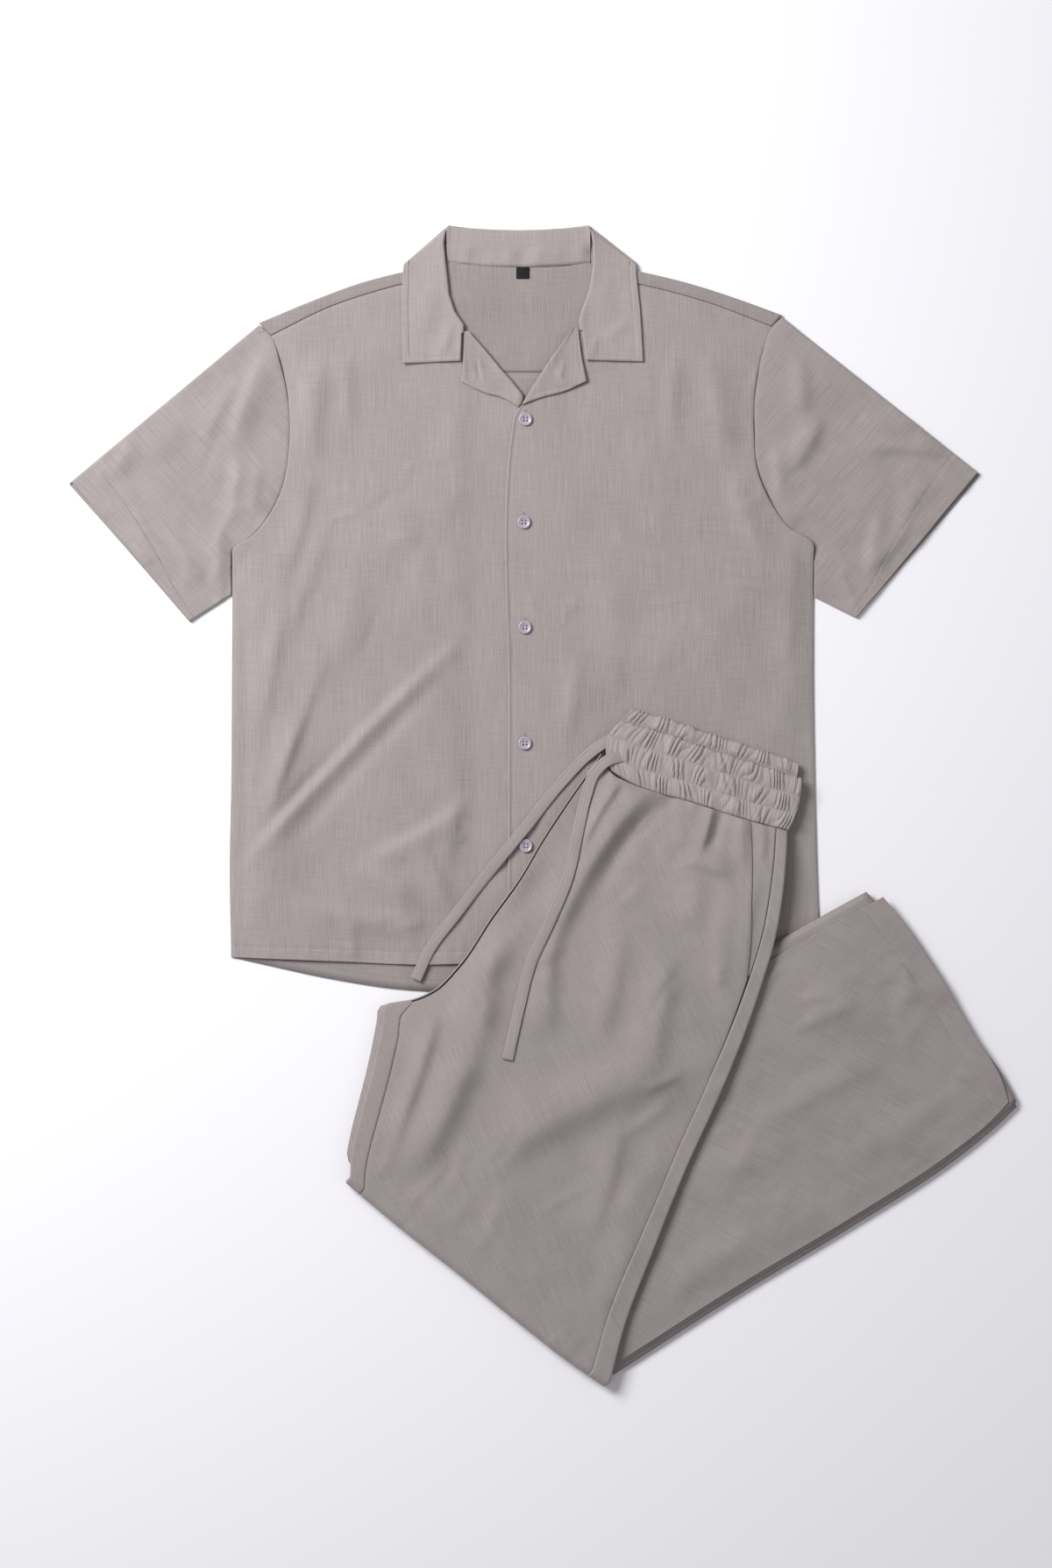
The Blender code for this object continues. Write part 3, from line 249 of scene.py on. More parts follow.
SIDE_LEFT = [(271, -147.4), (269, -105.8), (265.3, 15.8), (263.6, 134.8), (263.8, 202.1),
             (264, 241), (263.9, 253)]
ARMHOLE_LEFT = [(263.9, 253), (239.6, 270), (222.8, 293.1), (210.1, 322.7), (205.8, 365.2),
                (207.9, 407.2), (214.5, 440), (223.7, 464.6)]
BACK_HEM = [(-301.5, -147.8), (-262.6, -156.6), (-211.9, -167.5), (-150, -177.5),
            (-18.6, -182), (120, -177.5), (180, -168), (232, -156), (271, -147.4)]


def smooth(value, start, end):
    """Rises from 0 at start to 1 at end with level ends."""
    part = np.clip((value - start) / (end - start), 0.0, 1.0)
    return part * part * (3.0 - 2.0 * part)


def curve(points, corner=None, share_at_corner=None):
    """Cubic curve through all the points, read by its share of the length, 0 to 1.

    Each span is a Hermite cubic whose slopes are central differences. The point numbered corner,
    where there is one, is read at its own fixed share.
    """
    nodes = np.array(points, dtype=float)
    steps = np.linalg.norm(np.diff(nodes[:, :2], axis=0), axis=1)
    at = np.concatenate([[0.0], np.cumsum(steps)])
    at /= at[-1]
    if corner is not None:
        at = np.interp(at, [0.0, at[corner], 1.0], [0.0, share_at_corner, 1.0])
    slope = np.gradient(nodes, at, axis=0)

    def read(share):
        share = np.clip(np.asarray(share, dtype=float), 0.0, 1.0)
        low = np.clip(np.searchsorted(at, share, side="right") - 1, 0, len(at) - 2)
        step = (at[low + 1] - at[low])[..., None]
        part = (share[..., None] - at[low][..., None]) / step
        keep = 2 * part**3 - 3 * part**2 + 1
        return (keep * nodes[low] + (1 - keep) * nodes[low + 1]
                + (part**3 - 2 * part**2 + part) * step * slope[low]
                + (part**3 - part**2) * step * slope[low + 1])
    return read


def patch(bottom, top, left, right):
    """Coons surface between four edges: places (across, along), bottom to top, left to right."""
    edges = [edge if callable(edge) else curve(edge) for edge in (bottom, top, left, right)]
    corners = [edges[0](0.0), edges[0](1.0), edges[1](0.0), edges[1](1.0)]

    def place(across, along):
        across, along = np.broadcast_arrays(np.asarray(across, float), np.asarray(along, float))
        u = across[..., None]
        v = along[..., None]
        spread = (1 - v) * edges[0](across) + v * edges[1](across)
        spread = spread + (1 - u) * edges[2](along) + u * edges[3](along)
        spread = spread - (1 - u) * (1 - v) * corners[0] - u * (1 - v) * corners[1]
        spread = spread - (1 - u) * v * corners[2] - u * v * corners[3]
        return spread[..., 0], spread[..., 1]
    return place


def shares(count, length=1.0, start=(), end=()):
    """Even shares from 0 to 1, and finer ones so many millimetres from either end."""
    near = [step / length for step in start]
    far = [1 - step / length for step in end]
    return np.unique(np.concatenate([np.linspace(0, 1, count), near, far]).round(6))


def ripple(x, y, size, seed):
    """Soft unevenness, about -1 to 1: eight sine waves of about one size, turned by a seed."""
    draw = np.random.default_rng(seed)
    height = np.zeros_like(x)
    for turn, phase, stretch in draw.uniform((0, 0, 0.7), (math.pi, 2 * math.pi, 1.6), (8, 3)):
        reach = x * math.cos(turn) + y * math.sin(turn)
        height = height + np.sin(2 * math.pi * reach / (size * stretch) + phase)
    return height / 4.0


def grid_mesh(name, x, y, z, grain, keep=None, wrap=False, flat=None):
    """Mesh of a grid: a quad between each four neighbours, joined round where it wraps.

    Its UV map is the plan turned by the grain's angle, or flat's two arrays, in metres, so that
    yarns keep their size.
    """
    high, wide = x.shape
    number = np.arange(high * wide).reshape(high, wide)
    last = wide if wrap else wide - 1
    left = number[:, :last]
    right = np.roll(number, -1, axis=1)[:, :last]
    faces = np.stack([left[:-1], right[:-1], right[1:], left[1:]], axis=-1)
    if keep is not None:
        faces = faces[keep[:high - 1, :last]]
    used, faces = np.unique(faces.reshape(-1, 4), return_inverse=True)
    faces = faces.reshape(-1, 4)
    points = np.stack([x - ORIGIN[0], y - ORIGIN[1], z], axis=-1).reshape(-1, 3)[used] * MM
    mesh = bpy.data.meshes.new(name)
    mesh.from_pydata(points.tolist(), [], faces.tolist())
    turn = math.radians(grain)
    if flat is None:
        flat = (x * math.cos(turn) + y * math.sin(turn), y * math.cos(turn) - x * math.sin(turn))
    flat = np.stack(flat, axis=-1).reshape(-1, 2)[used] * MM
    mesh.uv_layers.new(name="weave").data.foreach_set("uv", flat[faces.ravel()].ravel())
    mesh.shade_smooth()
    return mesh


def add_piece(name, mesh, finish, nodes=()):
    """A piece of the set, with its finish and the CAD nodes that it replaces."""
    piece = add_object(name, mesh)
    piece.data.materials.append(finish)
    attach(piece, "root")
    if nodes:
        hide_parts(*nodes)
    return piece


def cloth(name, node, x, y, z, grain=0.0, thick=WALL, side=-1.0, keep=None, wrap=False,
          finish=linen):
    """A cloth wall on a grid, in place of its node: side -1 is below the grid, 1 above it."""
    piece = add_piece(name, grid_mesh(name, x, y, z, grain, keep, wrap), finish, [node])
    wall = piece.modifiers.new("wall", "SOLIDIFY")
    wall.thickness = thick * MM
    wall.offset = side
    return piece


left_edge = curve(SIDE_RIGHT + ARMHOLE_RIGHT[1:-2] + [(-251.0, YOKE_BACK_Y)],
                  len(SIDE_RIGHT) - 1, UNDERARM_SHARE)
right_edge = curve(SIDE_LEFT + ARMHOLE_LEFT[1:-2] + [(209.5, YOKE_BACK_Y)],
                   len(SIDE_LEFT) - 1, UNDERARM_SHARE)
top_edge = [(-251.0, YOKE_BACK_Y), (-100.0, YOKE_BACK_Y), (60.0, YOKE_BACK_Y),
            (209.5, YOKE_BACK_Y)]
back_place = patch(BACK_HEM, top_edge, left_edge, right_edge)


def hem_lift(x, y):
    """How far the back's hem is off the surface: ripples that fade out above it."""
    return 0.5 * (1 + ripple(x, y, 70, 3)) * (1 - smooth(y, -184, -150))


x, y = back_place(*np.meshgrid(shares(90), shares(80, BODY_LONG, start=(9.5, HEM_STITCH, 12.5))))
# Painted shade: the whole back has the darker copy of the linen, for the collar's shadow inside
# the neck.
shirt_back = cloth("cloth_shirt_back", "shirt_back", x, y, hem_lift(x, y), side=1.0,
                   finish=linen_painted_shade)

# Shirt fronts. Two panels, sewn to the back at the sides and to the yoke at the shoulders; the
# left one laps over the right at the placket. Both hold air, and keep the folds of being worn
# and packed: one long diagonal on the right front, shorter ones by the hem and under the yoke.
SEAM_HEIGHT = 2.4
BODY_HEIGHT = 4.0
PLACKET_UNDER = 3.2
PLACKET_OVER = 5.0
FRONT_SWELL = 2.2
ROLL_INSET = 7.0
YOKE_SEAM_RIGHT = [(-262.7, 455.7), (-204.1, 484.3), (-163.1, 498.1), (-135.3, 505.7),
                   (-101, 512)]
YOKE_SEAM_LEFT = [(223.7, 464.6), (155, 490), (93, 505.7), (57, 512)]
ROLL_RIGHT = [(0, 362), (-8.5, 378), (-17.8, 391.5), (-26.3, 408.5), (-38.4, 422.4),
              (-57.5, 445.1), (-74.9, 464.9), (-84.4, 477.9), (-89.7, 495.3), (-92, 512)]
ROLL_LEFT = [(-29.7, 361.8), (-27.2, 377.3), (-17.8, 391.5), (1.5, 422.4), (22.2, 451.9),
             (37.8, 474.5), (46.6, 504), (49, 512)]
PLACKET_RIGHT_X = 0.0
PLACKET_LEFT_X = -33.0
# A fold runs from start to end, bowed by so much at its middle to the left of its run; its
# flanks have their own widths on the left and the right, and it is a trough where it is negative.
FOLD_COLUMNS = ("start_x", "start_y", "end_x", "end_y", "bow", "left", "right", "height")
SHIRT_FOLDS = [
    (-72, 166, -292, -64, -5, 10, 6, 4.8),
    (-184, 62, -276, -34, -2, 4, 7, -2.4),
    (-210, 150, -262, 10, 2, 6, 12, 2.4),
    (-232, 90, -268, -10, 2, 5, 10, 2.2),
    (-100, 124, -250, -46, -3, 8, 26, -2.4),
    (-66, 3, -170, -56, 3, 16, 7, 4.8),
    (-56, 36, -64, -34, 1, 5, 9, 5),
    (-66, -20, -82, -36, 0, 3, 3, 1.8),
    (-70, -60, -58, -110, 2, 9, 12, 4),
    (-52, 96, -66, 24, 2, 7, 12, 2),
    (-76, 20, -96, -60, 3, 8, 12, 2.2),
    (-190, -60, -118, -92, 3, 10, 14, 2.6),
    (-120, -30, -80, -112, -3, 9, 13, 3.2),
    (-214, 440, -222, 330, -4, 12, 16, 3.6),
    (-196, 452, -188, 352, 3, 8, 10, 1.8),
    (-228, 320, -254, 214, 5, 9, 15, 3.6),
    (-206, 300, -262, 140, 6, 11, 13, 2.8),
    (-176, 250, -206, 120, 4, 16, 16, 2.4),
    (-252, 236, -276, 60, 4, 8, 12, 2.8),
    (160, 440, 176, 330, 4, 16, 12, 3.6),
    (132, 452, 128, 340, -3, 9, 9, 1.8),
    (182, 330, 222, 236, -5, 14, 9, 2.8),
    (-250, 120, -262, -90, 3, 20, 14, 3.8),
    (-288, 222, -291, -136, 1, 5, 5, -2.8),
    (-150, -60, -120, -140, 3, 14, 10, 3.2),
    (-186, -110, -182, -152, 0, 7, 9, 2.2),
    (-96, -112, -90, -154, 0, 8, 7, 2),
    (-240, -96, -120, -120, -2, 9, 12, 2.2),
    (150, 250, 226, 205, 3, 14, 16, 2.6),
    (60, 230, 88, 110, -4, 18, 22, 3),
    (31.6, 151.8, 18.8, 49.8, 3, 9, 14, 2.6),
    (70, 130, 74, 96, 1, 7, 9, 1.8),
    (232, 120, 236, -70, -3, 12, 10, 2.6),
    (8, 196, 44, 190, 1, 4, 4, 1.2),
    (6, 232, 60, 224, 1, 5, 5, 1.2),
]
# Fine sideways ripples on the left chest: place, half length, and how far each slants.
CHEST_RIPPLES = [(176, 266, 26, -4), (190, 252, 34, -6), (182, 240, 30, -3),
                 (196, 226, 36, -5), (206, 212, 24, -4), (120, 196, 20, 3)]


def folds(x, y, table):
    """Height of all the folds in a table.

    Across its bowed line each fold is a bell with its own width on each flank, and along the
    line it fades to its two ends.
    """
    height = np.zeros_like(x)
    for row in table:
        fold = dict(zip(FOLD_COLUMNS, row))
        run = np.array([fold["end_x"] - fold["start_x"], fold["end_y"] - fold["start_y"]])
        length = np.linalg.norm(run)
        run = run / length
        along = ((x - fold["start_x"]) * run[0] + (y - fold["start_y"]) * run[1]) / length
        aside = (y - fold["start_y"]) * run[0] - (x - fold["start_x"]) * run[1]
        aside = aside - fold["bow"] * 4 * along * (1 - along)
        width = np.where(aside > 0, fold["left"], fold["right"])
        fade = smooth(along, -0.1, 0.35) * (1 - smooth(along, 0.65, 1.1))
        height = height + fold["height"] * fade * np.exp(-(aside / width) ** 2)
    return height


def strewn(low, high, count, lean, seed):
    """Rows of small creases strewn between two corners, most of them running at one angle."""
    draw = np.random.default_rng(seed)
    middle = draw.uniform(low, high, (count, 2))
    turn = np.radians(draw.normal(lean, 26.0, count))
    reach = draw.uniform(12.0, 36.0, (count, 1))
    step = np.stack([np.cos(turn), np.sin(turn)], axis=1) * reach
    shape = draw.uniform((-3.0, 3.5, 3.5, -0.9), (3.0, 11.0, 11.0, 1.3), (count, 4))
    return np.concatenate([middle - step, middle + step, shape], axis=1)


def beside_line(x, y, start, end):
    """Distance from a line, positive on its left, looking from start to end."""
    run = np.array(end) - np.array(start)
    run = run / np.linalg.norm(run)
    return (y - start[1]) * run[0] - (x - start[0]) * run[1]


SHIRT_CREASES = strewn((-290.0, -140.0), (255.0, 420.0), 70, 70.0, 13)


def clear_of_trousers(x, y):
    """0 where the trousers press the shirt flat, 1 where they are well away."""
    beside_fly = beside_line(x, y, (-125.0, -190.0), (60.0, 55.0))
    above_waist = beside_line(x, y, (72.0, 103.0), (255.0, 38.0))
    return smooth(np.maximum(beside_fly, above_waist), 4.0, 50.0)


def front_top(x, y, over):
    """Top of a front: low at the side seams, a soft swell and folds between, level plackets."""
    inside = smooth(x, -304.0, -272.0) * (1 - smooth(x, 238.0, 266.0))
    inside = np.maximum(inside, smooth(y, 215.0, 262.0))
    height = SEAM_HEIGHT + (BODY_HEIGHT - SEAM_HEIGHT) * inside
    free = clear_of_trousers(x, y) * inside
    swell = smooth(y, -152.0, -90.0) * (1 - smooth(y, 300.0, 420.0))
    calm = 1 - smooth(y, 425.0, 450.0)
    shape = folds(x, y, SHIRT_FOLDS) + folds(x, y, SHIRT_CREASES)
    shape = shape + 1.0 * ripple(x, y, 95.0, 11) + 0.3 * ripple(x, y, 38.0, 12)
    for middle_x, middle_y, reach, slant in CHEST_RIPPLES:
        line = middle_y + slant * (x - middle_x) / reach
        fade = np.exp(-((x - middle_x) / reach) ** 2)
        shape = shape + 0.85 * fade * np.exp(-((y - line) / 3.4) ** 2)
    height = height + free * (FRONT_SWELL * swell + shape * calm)
    if over:
        level = 1 - smooth(x, 0.0, 40.0)
        return height * (1 - level) + PLACKET_OVER * level
    level = smooth(x, -92.0, -62.0)
    return height * (1 - level) + PLACKET_UNDER * level


def seam_dip(distance, depth=0.6, reach=2.0):
    """How far a panel's edge is drawn down into its seam, by the distance from it."""
    return depth * np.exp(-(distance / reach) ** 2)


def hem_relief(distance, at, along, seed):
    """A turned hem: a step up to the double cloth, and small puckers along its stitching."""
    double = 0.35 * (1 - smooth(distance, at - 1.0, at + 1.0))
    pucker = 0.24 * np.exp(-((distance - at) / 5.0) ** 2) * ripple(along, 0 * along, 9.0, seed)
    return double + pucker - 0.35 * np.exp(-((distance - at) / 1.1) ** 2)


def front_edge(placket_x, hem_y, roll):
    """Front edge of a front: the placket, then the roll line, inset under the collar."""
    points = np.array([(placket_x, hem_y), (placket_x, 100.0)] + roll)
    step = ROLL_INSET * smooth(points[:, 1], 392.0, 440.0)
    points[:, 0] += np.where(roll is ROLL_RIGHT, -step, step)
    return [tuple(point) for point in points]


NEAR_EDGE = (0.8, 1.7, 3.0, 5.0)
NEAR_HEM = (0.8, 4.0, 8.5, 10.0, HEM_STITCH, 12.0, 14.0)
FRONT_WIDE = 300.0
fine_rows = np.unique(np.concatenate([shares(190, BODY_LONG, start=NEAR_HEM, end=NEAR_EDGE),
                                      [UNDERARM_SHARE]]))
side = curve(SIDE_RIGHT + ARMHOLE_RIGHT[1:], len(SIDE_RIGHT) - 1, UNDERARM_SHARE)
edge = front_edge(PLACKET_RIGHT_X, -152.4, ROLL_RIGHT)
hem = [SIDE_RIGHT[0], (-203.5, -151.6), (-119.4, -154.9), (-60.0, -153.8), edge[0]]
right_place = patch(hem, YOKE_SEAM_RIGHT[:-1] + [edge[-1]], side, edge)
across, along = np.meshgrid(shares(100, FRONT_WIDE, start=NEAR_EDGE), fine_rows)
x, y = right_place(across, along)
relief = hem_relief(along * BODY_LONG, HEM_STITCH, x, 21) - seam_dip(across * FRONT_WIDE)
relief = relief - seam_dip((1 - along) * BODY_LONG)
front_right = cloth("cloth_shirt_front_right", "shirt_front_right",
                    x, y, front_top(x, y, False) + relief)

side = curve(SIDE_LEFT + ARMHOLE_LEFT[1:], len(SIDE_LEFT) - 1, UNDERARM_SHARE)
edge = front_edge(PLACKET_LEFT_X, -152.4, ROLL_LEFT)
hem = [edge[0], (30.0, -153.8), (90.0, -154.9), (180.0, -151.6), SIDE_LEFT[0]]
left_place = patch(hem, [edge[-1]] + YOKE_SEAM_LEFT[-2::-1], edge, side)
across, along = np.meshgrid(shares(100, FRONT_WIDE, start=NEAR_EDGE, end=NEAR_EDGE), fine_rows)
x, y = left_place(across, along)
relief = hem_relief(along * BODY_LONG, HEM_STITCH, x, 22) - seam_dip((1 - across) * FRONT_WIDE)
# The placket's edge: rounded, a rim beside it and the line of its edge-stitching.
from_edge = across * FRONT_WIDE
relief = relief - seam_dip((1 - along) * BODY_LONG) - seam_dip(from_edge, 0.8, 0.8)
relief = relief + seam_dip(from_edge - 1.8, 0.9, 1.1) - seam_dip(from_edge - 5.0, 0.3, 0.9)
front_left = cloth("cloth_shirt_front_left", "shirt_front_left",
                   x, y, front_top(x, y, True) + relief)

# Yoke. One piece across both shoulders: flat inside the back neck, folded forward over each
# shoulder, and sewn to the fronts a finger's width below the fold.
SHOULDER_RIGHT = [(-274.5, 468.4), (-225, 489), (-175, 507.5), (-131, 518.5),
                  (-101, 524)]
SHOULDER_LEFT = [(233.3, 475.9), (185, 493.5), (135, 509), (90.2, 519), (57, 524)]
NECK_SEAM_Y = 523.6
NECK_LIFT = 1.4
LEAF_HEIGHT = 5.4


def neck_lift(x, y):
    """How far the back neck is lifted by the collar that lies under it."""
    beside = smooth(x, -165.0, -140.0) * (1 - smooth(x, 98.0, 123.0))
    return NECK_LIFT * beside * smooth(y, 470.0, 496.0)


def neck_seam(x):
    """The seam of the back neck: a parabola, lowest in the middle."""
    return NECK_SEAM_Y - 1.0 + 4.6 * ((x + 21.0) / 72.0) ** 2


radius = BODY_HEIGHT / 2
shoulder = SHOULDER_RIGHT + [(at, neck_seam(at)) for at in (-94.0, -60.0, -21.0, 20.0, 51.0)]
shoulder += SHOULDER_LEFT[::-1]
seam_y = YOKE_BACK_Y + GAP
seam = [(-250.5, seam_y), (-100.0, seam_y), (60.0, seam_y), (209.0, seam_y)]
yoke_place = patch(seam, shoulder, [seam[0], (-256.0, 440.0), shoulder[0]],
                   [seam[-1], (214.5, 440.0), shoulder[-1]])
share = np.linspace(0, 1, 190)
fold_x, fold_y = yoke_place(share, np.ones_like(share))
front_seam_right = curve([(x, y + GAP) for x, y in YOKE_SEAM_RIGHT])
front_seam_left = curve([(x, y + GAP) for x, y in YOKE_SEAM_LEFT[::-1]])
on_right = fold_x < YOKE_SEAM_RIGHT[-1][0] + 0.5
on_left = fold_x > YOKE_SEAM_LEFT[-1][0] - 0.5
share_right = (fold_x - fold_x[0]) / (YOKE_SEAM_RIGHT[-1][0] - fold_x[0])
share_left = (fold_x - YOKE_SEAM_LEFT[-1][0]) / (fold_x[-1] - YOKE_SEAM_LEFT[-1][0])
yoke_front = np.where(on_right[:, None], front_seam_right(share_right),
                      front_seam_left(share_left))
out = np.stack([fold_x, fold_y], axis=1) - yoke_front
out /= np.linalg.norm(out, axis=1)[:, None]
rows = []
for part in np.linspace(0, 1, 36):
    x, y = yoke_place(share, np.full_like(share, part))
    drawn = 0.15 * (1 + ripple(x, y, 40.0, 31)) * smooth(part, 0.02, 0.2)
    rows.append((x - out[:, 0] * radius * part, y - out[:, 1] * radius * part,
                 neck_lift(x, y) + drawn * (1 - smooth(part, 0.9, 1.0))))
flat_rows = len(rows)
base = neck_lift(fold_x, fold_y)
tall = BODY_HEIGHT + (LEAF_HEIGHT - WALL - BODY_HEIGHT) * base / NECK_LIFT - base
for angle in np.linspace(-60, 90, 8):
    turn = math.radians(angle)
    reach = radius * (math.cos(turn) - 1)
    rows.append((fold_x + out[:, 0] * reach, fold_y + out[:, 1] * reach,
                 base + tall * (1 + math.sin(turn)) / 2))
for part in (0.2, 0.4, 0.6, 0.78, 0.9, 1.0):
    step = part * (yoke_front - np.stack([fold_x, fold_y], axis=1)) - out * radius * (1 - part)
    rows.append((fold_x + step[:, 0], fold_y + step[:, 1],
                 base + tall - 0.4 * smooth(part, 0.85, 1.0)))
x, y, z = (np.array([row[axis] for row in rows]) for axis in range(3))
folded = on_right | on_left
keep = np.ones(x.shape, dtype=bool)
keep[flat_rows - 1:] = folded & np.roll(folded, -1)
# Painted shade: the yoke has the darker copy of the linen, as the back has.
yoke = cloth("cloth_shirt_yoke", "shirt_yoke", x, y, z, side=1.0, keep=keep,
             finish=linen_painted_shade)

# Sleeves. Each is one panel sewn into a tube, lying flat: its fold along the top, its seam below,
# its head sewn into the armhole and its cuff turned up and stitched.
CUFF_RIGHT = [(-459.4, 312.1), (-400, 245), (-342, 177.8)]
CUFF_LEFT = [(426.1, 321), (366, 250.5), (305.2, 181.6)]
SLEEVE_SEAM_RIGHT_END = (-301.2, 204.2)
SLEEVE_SEAM_LEFT_END = (264.3, 202.1)
SLEEVE_CORNER_SHARE = 0.8
SLEEVE_SEAM_OUT = 0.15
CUFF_STITCH = 25.0
SLEEVE_LENGTH = 190.0
UNDERARM_LIFT = 1.1   # of the underside where the panel bunches underarm
UNDERARM_REACH = 24.0
SLEEVE_FOLDS = [
    (-262, 448, -299, 344, -5, 16, 7, 5.5),
    (-296, 340, -302, 270, 3, 13, 7, 4.4),
    (-286, 420, -330, 350, -4, 8, 12, 2.4),
    (-398, 358, -418, 318, 2, 11, 7, 2.6),
    (-312, 270, -318, 206, 2, 9, 7, 3.2),
    (-340, 390, -392, 330, 4, 14, 14, 2),
    (-350, 250, -330, 214, 2, 8, 8, 2),
    (-276, 330, -284, 280, 2, 7, 9, 2.6),
    (270, 378, 236, 322, 4, 8, 14, 4.6),
    (312, 346, 395, 342, 3, 14, 6, 3.6),
    (300, 372, 372, 374, -3, 8, 9, 1.7),
    (332, 288, 320, 220, -3, 12, 7, 3.6),
    (358, 278, 316, 228, 3, 7, 11, 3),
    (246, 440, 252, 372, 3, 9, 10, 3.2),
    (226, 350, 230, 296, 2, 10, 6, 3),
    (250, 280, 268, 236, -2, 9, 11, -2.6),
    (378, 318, 348, 268, -3, 8, 10, 2),
]
CUFF_OPEN = 2.6       # how far a cuff's under layer comes out past its upper one
SLEEVE_CREASES = np.concatenate([strewn((-440.0, 200.0), (-262.0, 440.0), 26, 60.0, 44),
                                 strewn((236.0, 200.0), (410.0, 440.0), 26, 150.0, 45)])


def flat_tube(place, bottom, top, upper, along, tall, back):
    """A flattened tube: over the top, round the far edge, back below and round the near edge.

    Its two edges are half ellipses as high as the tube; place maps shares across and along. Its
    upper layer starts a share back from the lower one.
    """
    share_v = along[:, None]
    length = np.hypot(*(np.array(place(1.0, share_v)) - np.array(place(0.0, share_v))))
    inset = tall / 2 / length
    turn = np.radians(np.linspace(110.0, 250.0, 8))
    near = inset * (1 + np.cos(turn))
    share_u = np.concatenate([inset + (1 - 2 * inset) * upper, 1 - near[:, ::-1],
                              (inset + (1 - 2 * inset) * upper)[:, ::-1], near[:, ::-1]], axis=1)
    rise = (1 + np.sin(turn)) / 2
    lift = np.concatenate([np.ones(len(upper)), rise, np.zeros(len(upper)), rise[::-1]])
    x, y = place(share_u, share_v + back * lift * (1 - smooth(share_v, 0.0, 0.08)))
    return x, y, bottom(x, y) + lift * (top(x, y) - bottom(x, y)), lift


def sleeve_top(x, y):
    """Top of the sleeves, with their folds."""
    shape = folds(x, y, SLEEVE_FOLDS) + folds(x, y, SLEEVE_CREASES)
    shape = shape + 0.7 * ripple(x, y, 70.0, 41) + 0.25 * ripple(x, y, 30.0, 42)
    return BODY_HEIGHT + np.maximum(shape, -1.2)


sleeve_places = {}
for name, cuff, armhole, end, grain in (
        ("right", CUFF_RIGHT, ARMHOLE_RIGHT, SLEEVE_SEAM_RIGHT_END, 41.0),
        ("left", CUFF_LEFT, ARMHOLE_LEFT, SLEEVE_SEAM_LEFT_END, -41.0)):
    away = -SLEEVE_SEAM_OUT if end[0] < 0 else SLEEVE_SEAM_OUT
    shoulder_end = SHOULDER_RIGHT[0] if end[0] < 0 else SHOULDER_LEFT[0]
    seam = [(shoulder_end[0] + away, shoulder_end[1] - 2.0)]
    seam += [(x + away, y) for x, y in armhole[::-1]]
    seam += [(end[0] + away, armhole[0][1] - 12.0), (end[0] + away, end[1])]
    seam_curve = curve(seam, len(armhole), SLEEVE_CORNER_SHARE)
    sleeve_place = patch([cuff[0], seam[0]], [cuff[-1], seam[-1]], cuff, seam_curve)
    sleeve_places[name] = sleeve_place

    def across_then_along(across, along, sleeve_place=sleeve_place):
        return sleeve_place(along, across)

    upper = np.unique(np.concatenate([np.linspace(0, 1, 84), [SLEEVE_CORNER_SHARE]]))
    along = shares(84, SLEEVE_LENGTH, start=(0.8, 2.0, 23.6, 24.6, CUFF_STITCH, 26.0, 27.4),
                   end=NEAR_EDGE)
    underarm = np.mean(armhole[:2], axis=0)

    def sleeve_bottom(x, y, underarm=underarm):
        """The surface, and a wall's thickness above it where the panel bunches underarm."""
        away_from = np.hypot(x - underarm[0], y - underarm[1])
        return UNDERARM_LIFT * np.exp(-(away_from / UNDERARM_REACH) ** 4)

    x, y, z, lift = flat_tube(across_then_along, sleeve_bottom, sleeve_top,
                              upper, along, BODY_HEIGHT, CUFF_OPEN / SLEEVE_LENGTH)
    from_cuff = along[:, None] * SLEEVE_LENGTH
    relief = hem_relief(from_cuff, CUFF_STITCH, x + y, 43) - seam_dip(SLEEVE_LENGTH - from_cuff)
    sleeve = cloth(f"cloth_shirt_sleeve_{name}", f"shirt_sleeve_{name}", x, y,
                   z + relief * lift, grain, side=-1.0 if end[0] < 0 else 1.0, wrap=True)
    # Laid out, the sleeve is twice as wide as its tube is across.
    wide = len(upper)

# Lapels. The tops of the front facings, turned out on the fronts, edge-stitched; the right one
# has a loop's slit near its end.
LAPEL_HIGH = {"right": BODY_HEIGHT + GAP + WALL, "left": PLACKET_OVER + GAP + WALL}
LAPEL_SIZE = (60.0, 74.0)
LAPEL_STITCH = 5.5    # from the lapels' edges to their stitching
LAPEL_FOLDS = [
    (-63.6, 431, -59.6, 412, 0, 1.6, 1.6, -1.3),
    (-61, 433, -56.6, 412, 0, 3.4, 1.4, 1),
    (14, 424, 34, 408, -5, 3, 2, 1.4),
    (20, 432, 18, 414, 1, 3, 3, 0.9),
]


def edge_relief(distance, at):
    """An edge-stitched rim: thicker outside its stitching, drawn in along it."""
    return 0.3 * (1 - smooth(distance, at - 0.8, at + 1.0)) - seam_dip(distance - at, 0.4, 1.0)


